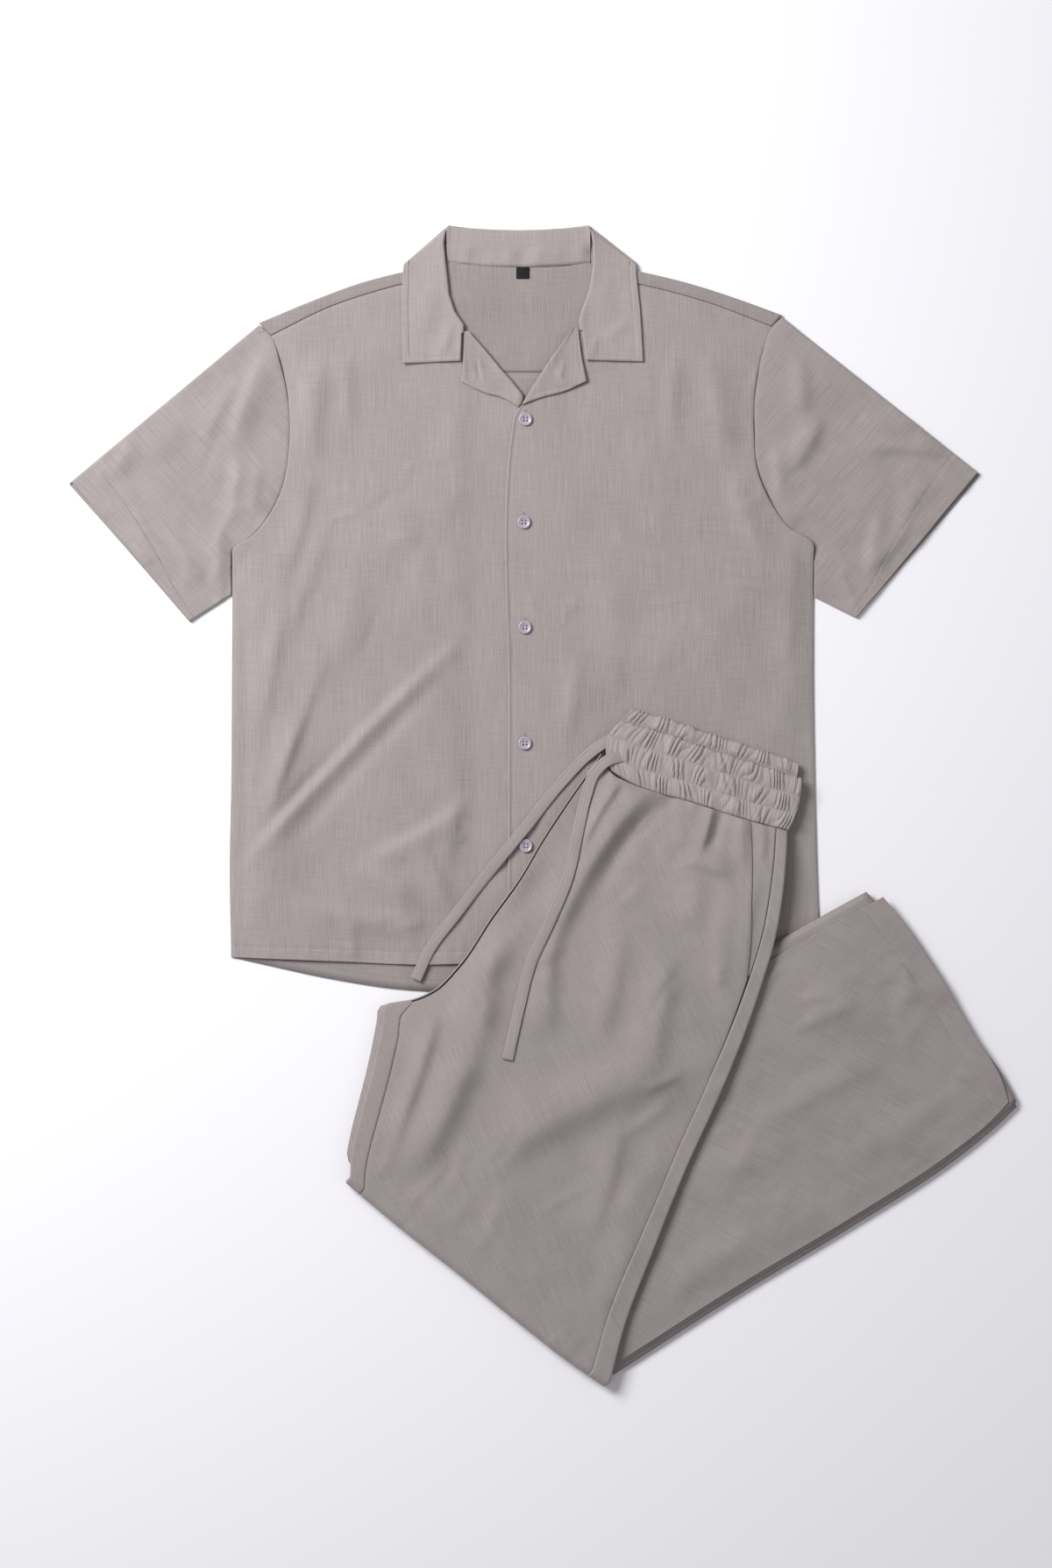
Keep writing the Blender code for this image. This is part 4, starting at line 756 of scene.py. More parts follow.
right_side = [(-78.4, 411.1), (-76.3, 430.0), (-75.2, 460.0)]
right_roll = [(-22.0, 386.0), (-17.8, 393.8), (-26.3, 408.5), (-38.4, 422.4), (-57.5, 445.1),
              (-70.7, 460.0)]
left_side = [(43.8, 411.5), (39.6, 431.0), (35.2, 463.0)]
left_roll = [(-19.5, 388.6), (-16.0, 394.5), (1.5, 422.4), (22.2, 451.9), (30.3, 463.0)]
lapel_places = {
    "right": patch([right_side[0], (-54.0, 399.8), (-38.4, 395.5), right_roll[0]],
                   [right_side[-1], (-73.0, 460.0), right_roll[-1]], right_side, right_roll),
    "left": patch([left_roll[0], (-0.2, 395.5), (22.2, 401.7), left_side[0]],
                  [left_roll[-1], (32.7, 463.0), left_side[-1]], left_roll, left_side),
}
for name, lapel_place in lapel_places.items():
    across, along = np.meshgrid(np.linspace(0, 1, 36), np.linspace(0, 1, 46))
    x, y = lapel_place(across, along)
    rolled = across if name == "right" else 1 - across
    z = LAPEL_HIGH[name] + 0.9 * smooth(rolled, 0.55, 0.95) - 0.9 * smooth(rolled, 0.93, 1.0)
    z = z + 0.45 * ripple(x, y, 34.0, 51) + folds(x, y, LAPEL_FOLDS)
    from_side = rolled * LAPEL_SIZE[0]
    z = z + edge_relief(np.minimum(from_side, along * LAPEL_SIZE[1]), LAPEL_STITCH)
    lapel = cloth(f"cloth_shirt_lapel_{name}", f"shirt_lapel_{name}", x, y, z)

# Collar. Upper and under collar as one folded wall: it stands at the back neck, rolls over, lies
# under the back there and opens into two leaves at the front, edge-stitched 7 mm in.
ROLL_RISE = 1.5
STAND_HEIGHT = 4.1
FALL_HEIGHT = 0.5
COLLAR_BEND = 1.6
COLLAR_COLUMNS = ("roll_x", "roll_y", "edge_x", "edge_y", "over", "opened")
COLLAR_ROWS = [
    (-77.2, 431.1, -134.7, 428.5, 1, 0), (-76.4, 448, -135.3, 450, 1, 0),
    (-75.8, 466, -135.9, 472.8, 1, 1), (-84.4, 478.5, -136, 486, 1, 1),
    (-89.9, 495.3, -135.8, 499, 1, 1), (-93.1, 524.8, -135.2, 510, 1, 1),
    (-95.2, 545.6, -134.6, 518.5, 1, 1), (-93.6, 556, -133.6, 524.5, 0.9, 1),
    (-90.5, 562.5, -132, 526.5, 0.5, 1), (-88, 562.3, -129.5, 526.8, 0.1, 1),
    (-82, 561.5, -121, 524, 0, 1), (-70, 560, -98, 508, 0, 1),
    (-46, 558.5, -60, 502, 0, 1), (-21, 558, -21, 501, 0, 1),
    (0, 558.5, 15, 502, 0, 1), (24, 560, 53, 508, 0, 1),
    (37, 561.5, 79, 524.5, 0, 1), (43, 562.3, 88, 527.3, 0.1, 1),
    (45.5, 562.5, 90.5, 527, 0.5, 1), (48.6, 556, 91.4, 524, 0.9, 1),
    (50, 545.6, 91.6, 518.5, 1, 1), (50.5, 524.8, 92.6, 508, 1, 1),
    (46.6, 500, 94, 495, 1, 1), (38.6, 478, 95.5, 482, 1, 1),
    (36.6, 469.3, 96.3, 470, 1, 1), (39.2, 450, 97.5, 450, 1, 0),
    (41, 432, 98.6, 430.3, 1, 0),
]
SECTIONS_BETWEEN = 9
COLLAR_STITCH = 7.0
COLLAR_FOLDS = [
    (-88, 470, -96, 436, 1, 4, 6, 1.5),
    (-112, 512, -118, 452, 3, 12, 9, 0.9),
    (54, 456, 50, 434, -1, 3, 4, 1.3),
    (84, 470, 56, 452, 2, 7, 5, 1.1),
    (66, 520, 62, 470, -3, 9, 11, 0.9),
]
station = np.arange(len(COLLAR_ROWS), dtype=float)
finer = np.linspace(0, station[-1], SECTIONS_BETWEEN * (len(COLLAR_ROWS) - 1) + 1)
table = np.array(COLLAR_ROWS, dtype=float)
row = {name: np.interp(finer, station, table[:, index])
       for index, name in enumerate(COLLAR_COLUMNS)}
count = len(finer)
roll = np.stack([row["roll_x"], row["roll_y"]], axis=1)
leaf_edge = np.stack([row["edge_x"], row["edge_y"]], axis=1)
over = row["over"][:, None]
in_front = over > 0.75
opened = row["opened"] > 0.5
out = roll - leaf_edge
width = np.linalg.norm(out, axis=1)[:, None]
out = out / width
neck_x = np.clip(roll[:, 0], -94.0, 50.0)
neck = np.stack([neck_x, neck_seam(neck_x) + SEAM_GAP], axis=1)
stand = roll - neck
stand_width = np.linalg.norm(stand, axis=1)[:, None]
stand = stand / stand_width
sections = []
seam_height = NECK_LIFT + WALL / 2
for part in (0.0, 0.12, 0.24, 0.36, 0.48, 0.6, 0.7):
    height = seam_height + (STAND_HEIGHT - seam_height) * part
    point = neck + stand * (stand_width - 4 * COLLAR_BEND) * part
    uneven = 1.7 * ripple(point[:, :1], 0.3 * point[:, 1:], 26.0, 61) * smooth(part, 0.0, 0.2)
    sections.append((point, np.full((count, 1), height) + uneven * (1 - smooth(part, 0.5, 0.7))))
stand_rows = len(sections)
for angle in np.linspace(-90.0, 90.0, 9):
    turn = math.radians(angle)
    inset = COLLAR_BEND * (1 - math.cos(turn))
    toward = stand if angle < 0 else out
    on_top = LEAF_HEIGHT + ROLL_RISE * math.sin(turn)
    bend = (STAND_HEIGHT - FALL_HEIGHT) / 2
    beneath = FALL_HEIGHT + bend * (1 - math.sin(turn)) + 2.4 * over
    sections.append((roll - toward * inset, np.where(in_front, on_top, beneath)))
bend_rows = len(sections) - 1
leaf_parts = np.unique(np.concatenate([np.linspace(0.03, 1.0, 28),
                                       [0.84, 0.86, 0.88, 0.90, 0.98]]))
end_y = np.where(finer < station[-1] / 2, leaf_edge[0, 1], leaf_edge[-1, 1])
from_end = np.abs(leaf_edge[:, 1] - end_y)[:, None] + 100.0 * (1 - over)
fall_start = sections[-1][1]
for part in leaf_parts:
    on_top = LEAF_HEIGHT + ROLL_RISE * np.exp(-part * width / 9.0)
    reach = COLLAR_BEND + (width - COLLAR_BEND) * part
    height = over * on_top + (1 - over) * FALL_HEIGHT
    near_roll = np.where(in_front, 0.0, np.exp(-part / 0.15))
    height = height + near_roll * (fall_start - height)
    point = roll - out * reach
    uneven = 0.55 * ripple(point[:, :1], point[:, 1:], 42.0, 62) * smooth(part, 0.0, 0.2)
    uneven = uneven + folds(point[:, :1], point[:, 1:], COLLAR_FOLDS)
    from_edge = np.minimum(width * (1 - part), from_end)
    sections.append((point, height + over * (uneven + edge_relief(from_edge, COLLAR_STITCH))))
x = np.stack([point[:, 0] for point, _ in sections], axis=1)
y = np.stack([point[:, 1] for point, _ in sections], axis=1)
z = np.concatenate([height for _, height in sections], axis=1)
collar_x, collar_y, collar_z = x, y, z
at_back = ~in_front[:, 0]
rolled = opened & np.roll(opened, -1) & (at_back == np.roll(at_back, -1))
keep = np.ones(x.shape, dtype=bool)
keep[:, :stand_rows] = (at_back & np.roll(at_back, -1))[:, None]
keep[:, stand_rows:bend_rows] = rolled[:, None]
# Painted light: the collar has the lighter copy of the linen, where the light falls on its
# leaves.
collar = cloth("cloth_shirt_collar", "shirt_collar", x, y, z, side=0.0, keep=keep,
               finish=linen_painted_light)

# Shirt stitching. Linen thread a shade lighter than the cloth: lock stitches 3 mm apart along the
# collar, lapels, hems, cuffs and yoke, each a small spindle half sunk in the cloth.
STITCH_STEP = 3.0
STITCH_LONG = 2.3
STITCH_WIDE = 0.55
STITCH_HIGH = 0.32
YOKE_STITCH = 2.2     # from the yoke's seam on the fronts to its stitching
SPINDLE_CORNERS = np.array([(0, 2, 1), (0, 3, 2), (0, 4, 3), (0, 1, 4),
                            (5, 1, 2), (5, 2, 3), (5, 3, 4), (5, 4, 1)])


def flecked(name, dark, light, kind, settings=None, uv_map=None, **inputs):
    """A finish whose colour goes from dark to light with a texture's value; also its shader.

    The texture reads the UV map named, and Object coordinates where none is.
    """
    made = bpy.data.materials.new(name)
    made.use_nodes = True
    tree = made.node_tree
    shader = tree.nodes["Principled BSDF"]
    if uv_map:
        place = add_node(tree, "ShaderNodeUVMap", {"uv_map": uv_map}).outputs["UV"]
    else:
        place = tree.nodes.new("ShaderNodeTexCoord").outputs["Object"]
    texture = add_node(tree, kind, settings, Vector=place, **inputs)
    ramp = tree.nodes.new("ShaderNodeValToRGB")
    ramp.color_ramp.elements[0].color = dark
    ramp.color_ramp.elements[1].color = light
    tree.links.new(texture.outputs[0], ramp.inputs[0])
    tree.links.new(ramp.outputs[0], shader.inputs["Base Color"])
    return made, shader


thread, thread_shader = flecked("sewing thread", (0.30, 0.265, 0.255, 1.0),
                                (0.44, 0.395, 0.385, 1.0), "ShaderNodeTexNoise",
                                Scale=900.0, Detail=1.0)
thread_shader.inputs["Roughness"].default_value = 0.7


def spindles(name, ends, high, wide):
    """Small spindles in one mesh, each from its first tip to its second.

    Four points stand round a spindle's middle, and eight faces join them to its tips.
    """
    run = ends[:, 1] - ends[:, 0]
    run = run / np.linalg.norm(run, axis=1)[:, None]
    middle = ends.mean(axis=1)
    aside = np.stack([-run[:, 1], run[:, 0], 0 * run[:, 0]], axis=1) * wide / 2
    up = np.array([0.0, 0.0, high])
    points = np.stack([ends[:, 0], middle + aside, middle + up, middle - aside, middle - up,
                       ends[:, 1]], axis=1)
    points = (points - (*ORIGIN, 0.0)) * MM
    faces = (np.arange(len(points))[:, None, None] * 6 + SPINDLE_CORNERS).reshape(-1, 3)
    mesh = bpy.data.meshes.new(name)
    mesh.from_pydata(points.reshape(-1, 3).tolist(), [], faces.tolist())
    mesh.shade_smooth()
    return add_piece(name, mesh, thread)


def stitches(name, lines, base=0.0):
    """Stitches along lines of points: spindles whose tips lie on the line, a step apart."""
    ends = []
    for points in lines:
        steps = np.linalg.norm(np.diff(points[:, :2], axis=0), axis=1)
        at = np.concatenate([[0.0], np.cumsum(steps)])
        centers = np.arange(STITCH_STEP / 2, at[-1], STITCH_STEP)
        ends.append(np.stack([np.stack([np.interp(centers + reach, at, points[:, axis])
                                        for axis in range(3)], axis=1)
                              for reach in (-STITCH_LONG / 2, STITCH_LONG / 2)], axis=1))
    ends = np.concatenate(ends) + (0, 0, base)
    return spindles(name, ends, STITCH_HIGH, STITCH_WIDE)


def line_on(place, across, along, height):
    """Points along a line given in a patch's shares, at the height of the cloth there."""
    x, y = place(across, along)
    return np.stack([x, y, height(x, y)], axis=-1)


run = np.linspace(0, 1, 160)
flat_run = np.ones_like(run)
hem_share = HEM_STITCH / BODY_LONG
shirt_lines = [
    line_on(right_place, 0.01 + 0.98 * run, flat_run * hem_share,
            lambda x, y: front_top(x, y, False)),
    line_on(left_place, 0.01 + 0.98 * run, flat_run * hem_share,
            lambda x, y: front_top(x, y, True)),
    line_on(back_place, 0.01 + 0.98 * run, flat_run * hem_share,
            lambda x, y: WALL + hem_lift(x, y)),
]
for name, sleeve_place in sleeve_places.items():
    shirt_lines.append(line_on(sleeve_place, flat_run * CUFF_STITCH / SLEEVE_LENGTH,
                               0.03 + 0.94 * run, sleeve_top))
yoke_line = np.stack([fold_x, yoke_front[:, 1] + YOKE_STITCH, base + tall - 0.05], axis=1)
shirt_lines += [yoke_line[on_right], yoke_line[on_left]]
leaf_x, leaf_y, leaf_z = (grid[:, bend_rows + 1:] for grid in (collar_x, collar_y, collar_z))
for ends in ((3, 54), (180, len(finer) - 4)):
    across = np.array([[np.interp(1 - COLLAR_STITCH / width[at, 0], leaf_parts, grid[at])
                        for grid in (leaf_x, leaf_y, leaf_z)] for at in range(*ends)])
    at = ends[0] if ends[0] < 90 else ends[1]
    in_from_edge = leaf_parts < 1 - COLLAR_STITCH / width[at, 0]
    end_line = np.stack([grid[at][in_from_edge] for grid in (leaf_x, leaf_y, leaf_z)], axis=1)
    shirt_lines += [across + (0, 0, WALL / 2), end_line + (0, 0, WALL / 2)]
for name, lapel_place in lapel_places.items():
    inset = LAPEL_STITCH / LAPEL_SIZE[0]
    side_share = inset if name == "right" else 1 - inset
    up = np.linspace(LAPEL_STITCH / LAPEL_SIZE[1], 0.75, 60)
    over_to = np.linspace(inset, 0.9, 60)
    if name == "left":
        over_to = 1 - over_to
    level = LAPEL_HIGH[name] - 0.05
    for across, along in ((np.full(60, side_share), up),
                          (over_to, np.full(60, LAPEL_STITCH / LAPEL_SIZE[1]))):
        shirt_lines.append(line_on(lapel_place, across, along, lambda x, y: 0 * x + level))
stitches("stitching_shirt", shirt_lines, 0.05)

# Neck label. A small black woven label, bare, stitched down at its two ends inside the back neck.
LABEL_PLACE = (-18.3, 516.8)
LABEL_SIZE = (12.5, 11.3)
label_finish, label_shader = flecked("black label", (0.006, 0.006, 0.008, 1.0),
                                     (0.022, 0.022, 0.025, 1.0), "ShaderNodeTexWave",
                                     {"bands_direction": "Y"}, "weave",
                                     Scale=650.0, Distortion=0.6)
label_shader.inputs["Roughness"].default_value = 0.7
label_shader.inputs["Specular IOR Level"].default_value = 0.15
across, along = np.meshgrid(np.linspace(-0.5, 0.5, 24), np.linspace(-0.5, 0.5, 22))
x = LABEL_PLACE[0] + LABEL_SIZE[0] * across
y = LABEL_PLACE[1] + LABEL_SIZE[1] * along
z = neck_lift(x, y) + WALL + GAP + 0.5 * np.cos(math.pi * across)
neck_label = cloth("neck_label", "shirt_neck_label", x, y, z, thick=0.6, side=1.0,
                   finish=label_finish)

# Buttons. Five four-hole buttons of lilac-grey plastic, turned with a round rim and a dished
# middle, sewn on with thread through the holes; the cloth has a stitched buttonhole under each.
BUTTON_DEPTH = 2.4
BUTTON_PROFILE = [(0, 0), (5.2, 0), (6.1, 0.35), (6.5, 0.95), (6.45, 1.6), (6.1, 2.15),
                  (5.6, 2.4), (5, 2.3), (4.5, 1.95), (4, 1.65), (2, 1.5), (0, 1.5)]
BUTTON_SEGMENTS = 48
HOLE_RADIUS = 0.85
HOLE_SEGMENTS = 14
HOLE_OFFSET = 1.6
THREADS_APART = 0.32
THREAD_LEVEL = 1.55      # of the sewing threads, just above the dished middle
BUTTONHOLE_STEP = 0.55
BUTTONHOLE_SIDES = (0.15, 1.45)    # from its slit to the inner and outer ends of its stitches
BUTTON_COUNT = 5
BUTTONHOLE_LONG = 15.0
BUTTONHOLE_RISE = 2.5    # the shank's place in the buttonhole, below its middle


def button_mesh():
    """A turned button: its profile goes round Z, and four cylinders are cut through it."""
    turn = np.linspace(0, 2 * math.pi, BUTTON_SEGMENTS, endpoint=False)
    profile = np.array(BUTTON_PROFILE)
    points = np.stack([profile[:, :1] * np.cos(turn), profile[:, :1] * np.sin(turn),
                       profile[:, 1:] + 0 * turn], axis=-1).reshape(-1, 3) * MM
    number = np.arange(len(points)).reshape(len(profile), BUTTON_SEGMENTS)
    after = np.roll(number, -1, axis=1)
    faces = np.stack([number[:-1], after[:-1], after[1:], number[1:]], axis=-1).reshape(-1, 4)
    turned = bpy.data.meshes.new("turned button")
    turned.from_pydata(points.tolist(), [], faces.tolist())
    work = bmesh.new()
    work.from_mesh(turned)
    bmesh.ops.remove_doubles(work, verts=work.verts, dist=0.00001)
    bmesh.ops.recalc_face_normals(work, faces=work.faces)
    work.to_mesh(turned)
    work.clear()
    for side_x, side_y in ((1, 1), (1, -1), (-1, 1), (-1, -1)):
        made = bmesh.ops.create_cone(work, cap_ends=True, segments=HOLE_SEGMENTS,
                                     radius1=HOLE_RADIUS * MM, radius2=HOLE_RADIUS * MM,
                                     depth=9 * MM)
        bmesh.ops.translate(work, verts=made["verts"],
                            vec=(HOLE_OFFSET * side_x * MM, HOLE_OFFSET * side_y * MM, 0.0))
    drills_mesh = bpy.data.meshes.new("drills")
    work.to_mesh(drills_mesh)
    work.free()
    drills = add_object("drills", drills_mesh)
    blank = add_object("blank", turned)
    cut = blank.modifiers.new("holes", "BOOLEAN")
    cut.operation = "DIFFERENCE"
    cut.object = drills
    view = bpy.context.evaluated_depsgraph_get()
    done = bpy.data.meshes.new_from_object(blank.evaluated_get(view))
    for piece in (drills, blank):
        bpy.data.objects.remove(piece, do_unlink=True)
    done.shade_smooth()
    done.set_sharp_from_angle(angle=math.radians(40))
    return done


button_finish, button_shader = flecked("button plastic", (0.33, 0.29, 0.36, 1.0),
                                       (0.50, 0.45, 0.53, 1.0), "ShaderNodeTexNoise",
                                       Scale=260.0, Detail=2.0, Distortion=1.2)
button_shader.inputs["Roughness"].default_value = 0.32
button_shader.inputs["Coat Weight"].default_value = 0.2
plain_button = button_mesh()
sewn = []
buttonhole = []
for index in range(1, BUTTON_COUNT + 1):
    low, high = (np.array(corner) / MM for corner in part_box(f"shirt_button_{index}"))
    middle = (low + high) / 2
    mesh = plain_button.copy()
    mesh.transform(Matrix.Translation((middle[0] * MM, middle[1] * MM, low[2] * MM)))
    add_piece(f"button_{index}", mesh, button_finish, [f"shirt_button_{index}"])
    center = np.array([middle[0] + ORIGIN[0], middle[1] + ORIGIN[1], low[2]])
    for side_x in (-1, 1):
        for offset in (-THREADS_APART, 0.0, THREADS_APART):
            tip = np.array([HOLE_OFFSET * side_x + offset, HOLE_OFFSET + 0.3, THREAD_LEVEL])
            sewn.append((center + tip, center + tip * (1, -1, 1)))
    steps = np.arange(-BUTTONHOLE_LONG / 2, BUTTONHOLE_LONG / 2, BUTTONHOLE_STEP)
    for side_x in (-1, 1):
        lines = np.zeros((len(steps), 2, 3)) + center
        lines[:, :, 0] += np.array(BUTTONHOLE_SIDES) * side_x
        lines[:, :, 1] += steps[:, None] + BUTTONHOLE_RISE
        lines[:, :, 2] += -GAP + 0.1
        buttonhole.append(lines)
spindles("stitching_buttons", np.array(sewn), 0.28, 0.42)
spindles("stitching_buttonholes", np.concatenate(buttonhole), 0.3, 0.6)

# Hidden legs. Under the left leg lie the right leg's two layers, and the lower legs are folded
# under at the knee: their layers come out a little one past another, as folded cloth does.
TROUSER_SHADE = 0.94  # the trousers' cloth is a little darker
LEG_HEIGHT = 4.2
LAYER_WALL = 1.3
LAYERS_HEIGHT = 3.0
LAYERS_GAP = 0.6
LAYERS_OUT = 5.0      # how far they come out past the left leg's inseam, below the crotch
LOWER_HEIGHT = 8.5
LOWER_RIM_DROP = 1.0
SHIRT_HEIGHT = 5.4
LOWER_RUN = (0.884, 0.467)
LOWER_LONG = 600.0
LEG_GRAIN = 23.0
LOWER_GRAIN = 62.0
LEG_LEFT_EDGE = [(57.5, 50), (27.6, 8.2), (-1.3, -35.6), (-21.2, -69.2), (-49.2, -108.3),
                 (-80.8, -154.9), (-104.6, -178.6), (-124, -187.5), (-143, -190.9),
                 (-150, -192.6), (-153, -196.5), (-153.8, -206), (-158.2, -230),
                 (-165.4, -262), (-173, -291), (-180, -318), (-184.4, -340),
                 (-185.6, -359.5)]
LEG_RIGHT_EDGE = [(238.1, -25.2), (235.6, -64.6), (224.9, -133), (212.8, -173.8),
                  (196.1, -222.2), (175.8, -273.2), (139.3, -353.9), (108.1, -431.9),
                  (82.1, -499.3), (66.2, -558)]
WAIST_SEAM = [(57.5, 50), (62, 37.5), (70, 29), (88.8, 19.9), (142.4, 3.6),
              (201, -15.1), (238.1, -25.2)]
KNEE_EDGE = [(-185.6, -359.5), (-135, -402), (-78, -447), (-10, -502),
             (30, -533), (66.2, -558)]
LOWER_TOP = [(-172, -360), (30, -249), (222.8, -149), (290, -111), (331, -89)]
LOWER_BOTTOM = [(66, -546), (191.4, -465.7), (295.5, -403.3), (399.6, -335.7),
                (439.1, -303.4), (453, -288)]
LOWER_HEM = [(331, -89), (348.6, -110.7), (380.6, -157), (418, -220.5),
             (446, -266), (453, -288)]
LOWER_KNEE = [(-172, -360), (-125, -398), (-64, -446), (4, -499), (66, -546)]
# How far a layer comes out at the upper edge, the lower edge, and each end of the hem.
LAYER_SPREADS = {"trouser_right_back": (10.5, 3.2, -13.0, 7.0),
                 "trouser_lower_layers": (12.0, 8.0, -12.0, 5.0)}
LEG_FOLDS = [
    (118, 32, 0, -165, -16, 11, 20, 9),
    (136, 14, 52, -90, -10, 8, 9, -3),
    (84, 34, 34, -50, -4, 5, 9, 4.5),
    (166, 4, 152, -48, 1, 4, 12, 4.5),
    (176, 0, 164, -44, 1, 5, 5, -3),
    (142, 12, 128, -50, 3, 10, 12, 2.4),
    (131, -54, 184, -68, 4, 14, 7, 5),
    (112, -40, 150, -74, -6, 10, 7, 2),
    (194, -8, 196, -62, -2, 6, 8, 2.2),
    (216, -12, 212, -58, 1, 4, 6, 2),
    (2, -40, -42, -120, -4, 12, 16, 3),
    (-6, -90, -58, -168, 4, 14, 12, 3),
    (-100, -192, -146, -330, 3, 7, 12, 4.8),
    (-44, -118, -64, -240, -2, 15, 26, 9),
    (-62, -220, -126, -356, 4, 15, 24, 9),
    (10, -120, 4, -226, -2, 12, 18, 5.4),
    (122, -136, 100, -266, 2, 14, 20, 6),
    (76, -110, 52, -230, 4, 12, 16, 3.6),
    (160, -248, -64, -348, -12, 21, 32, 9.5),
    (78, -300, 46, -420, 3, 9, 14, 3.4),
    (150, -60, 140, -120, 2, 12, 14, 3.2),
    (136, -258, 98, -276, 1, 5, 6, 1.8),
    (128, -280, 74, -322, 3, 8, 7, 1.8),
    (120, -330, 66, -404, 4, 14, 12, 2.4),
    (180, -80, 176, -190, -5, 14, 10, 2.6),
    (206, -70, 196, -170, -2, 6, 9, 1.8),
    (90, -380, 52, -500, 5, 14, 18, 2.2),
    (-130, -372, -20, -464, 5, 14, 12, 2),
    (-60, -340, -20, -420, 6, 18, 20, 2.2),
]
LEG_CREASES = strewn((-180.0, -540.0), (235.0, -20.0), 70, 66.0, 73)
LOWER_FOLDS = [
    (205.8, -315.7, 333.3, -247.7, 5, 18, 12, 2.8),
    (239.8, -222, 306, -190, 3, 12, 9, 2.4),
    (273.8, -349.7, 401.3, -281.7, -4, 14, 18, 1.8),
    (120.8, -477, 214.3, -409.2, 4, 16, 13, 2.4),
    (324.8, -137, 372, -205, 4, 14, 12, 2),
    (236, -154, 262, -262, 5, 12, 18, -1.6),
    (160, -360, 250, -330, 4, 18, 16, 2),
    (228, -196, 292, -182, 2, 8, 6, 1.8),
    (350, -330, 420, -286, -3, 12, 12, -1.2),
]
LOWER_CREASES = strewn((140.0, -470.0), (420.0, -110.0), 44, 20.0, 84)
trouser_linen = cloth_material("trouser linen", 0.75, 0.5, TROUSER_SHADE)


def ground(x, y):
    """What the trousers lie on: the shirt, and past its hem and side the surface itself."""
    return SHIRT_HEIGHT * smooth(y, -310.0, -192.0) * (1 - smooth(x, 280.0, 370.0))


def lower_top(x, y):
    """Top of the lower legs."""
    return ground(x, y) + LOWER_HEIGHT


def leg_bottom(x, y):
    """Underside of the left leg: over its hidden layers, and the lower legs near the knee."""
    inside = -beside_line(x, y, (-186.0, -361.6), (328.9, -89.0))
    step = (LOWER_HEIGHT + 2 * GAP) * smooth(inside, -170.0, -24.0)
    return ground(x, y) + step + LAYERS_HEIGHT + LAYERS_GAP


def leg_top(x, y):
    """Top of the left leg, with its folds."""
    below = -beside_line(x, y, (62.0, 33.0), (238.0, -23.0))
    along = np.sin(x / 3.3 + 1.7 * np.sin(x / 11.0)) + 0.6 * np.sin(x / 5.9 + 1.0)
    drawn_in = 0.9 * along * np.exp(-np.maximum(below, 0.0) / 11.0)
    shape = folds(x, y, LEG_FOLDS) + folds(x, y, LEG_CREASES) + drawn_in
    shape = shape + 0.8 * ripple(x, y, 110.0, 71) + 0.25 * ripple(x, y, 36.0, 72)
    return leg_bottom(x, y) + LEG_HEIGHT + np.maximum(shape, -2.5)


def lower_patch(upper_spread, lower_spread, hem_upper, hem_lower):
    """The lower leg seen from above, let out at its upper edge, lower edge and hem."""
    def move(points, share):
        nodes = np.array(points, dtype=float)
        part = np.linspace(0, 1, len(nodes)) if share is None else share
        spread = (1 - part) * upper_spread - part * lower_spread
        return nodes + np.stack([-LOWER_RUN[1] * spread + 0 * nodes[:, 0],
                                 LOWER_RUN[0] * spread + 0 * nodes[:, 0]], axis=1)
    hem_spread = np.linspace(hem_upper, hem_lower, len(LOWER_HEM))[:, None]
    hem = move(LOWER_HEM, None) + np.array(LOWER_RUN) * hem_spread
    knee = move(LOWER_KNEE, None)
    upper = np.concatenate([knee[:1], move(LOWER_TOP[1:-1], 0.0), hem[:1]])
    lower = np.concatenate([knee[-1:], move(LOWER_BOTTOM[1:-1], 1.0), hem[-1:]])
    return patch(lower, upper, knee[::-1], hem[::-1])


def stacked(grids):
    """Several grids as the layers of one piece: joined into one, less the rows between them."""
    x, y, z = (np.concatenate([grid[axis] for grid in grids]) for axis in range(3))
    keep = np.ones(x.shape, dtype=bool)
    keep[np.cumsum([len(grid[0]) for grid in grids])[:-1] - 1] = False
    return x, y, z, keep


leg_place = patch(WAIST_SEAM, KNEE_EDGE, LEG_LEFT_EDGE, LEG_RIGHT_EDGE)
layers = []
for inset, drop in ((0.0, 0.0), (0.008, 1.55)):
    across, along = np.meshgrid(0.025 + inset + (0.95 - 2 * inset) * shares(36),
                                0.01 + 0.975 * shares(80))
    x, y = leg_place(across, along)
    rung = np.array(leg_place(1.0, along)) - np.array(leg_place(0.0, along))
    rung_long = np.hypot(*rung)
    out = (across[0, 0] * rung_long + LAYERS_OUT) * smooth(along, 0.61, 0.68)
    out = out * (1 - smooth(along, 0.968, 0.985))
    out = out * (1 - (across - across[0, 0]) / (across[0, -1] - across[0, 0]))
    x, y = x - rung[0] / rung_long * out, y - rung[1] / rung_long * out
    layers.append((x, y, leg_bottom(x, y) - LAYERS_GAP - drop))
x, y, z, keep = stacked(layers)
upper_layers = cloth("cloth_trouser_upper_layers", "trouser_upper_layers", x, y, z, LEG_GRAIN,
                     LAYER_WALL, 1.0, keep, finish=trouser_linen)

spread = LAYER_SPREADS["trouser_lower_layers"]
layers = []
for inset, drop in ((0.0, 0.0), (3.0, 1.6), (1.2, 3.2)):
    across, along = np.meshgrid(shares(60), shares(36))
    x, y = lower_patch(*(side - inset for side in spread))(across, along)
    level = LOWER_HEIGHT - LOWER_RIM_DROP - 2 * (WALL + GAP) - drop
    layers.append((x, y, ground(x, y) + level))
x, y, z, keep = stacked(layers)
lower_layers = cloth("cloth_trouser_lower_layers", "trouser_lower_layers", x, y, z,
                     LOWER_GRAIN, LAYER_WALL, keep=keep, finish=trouser_linen)

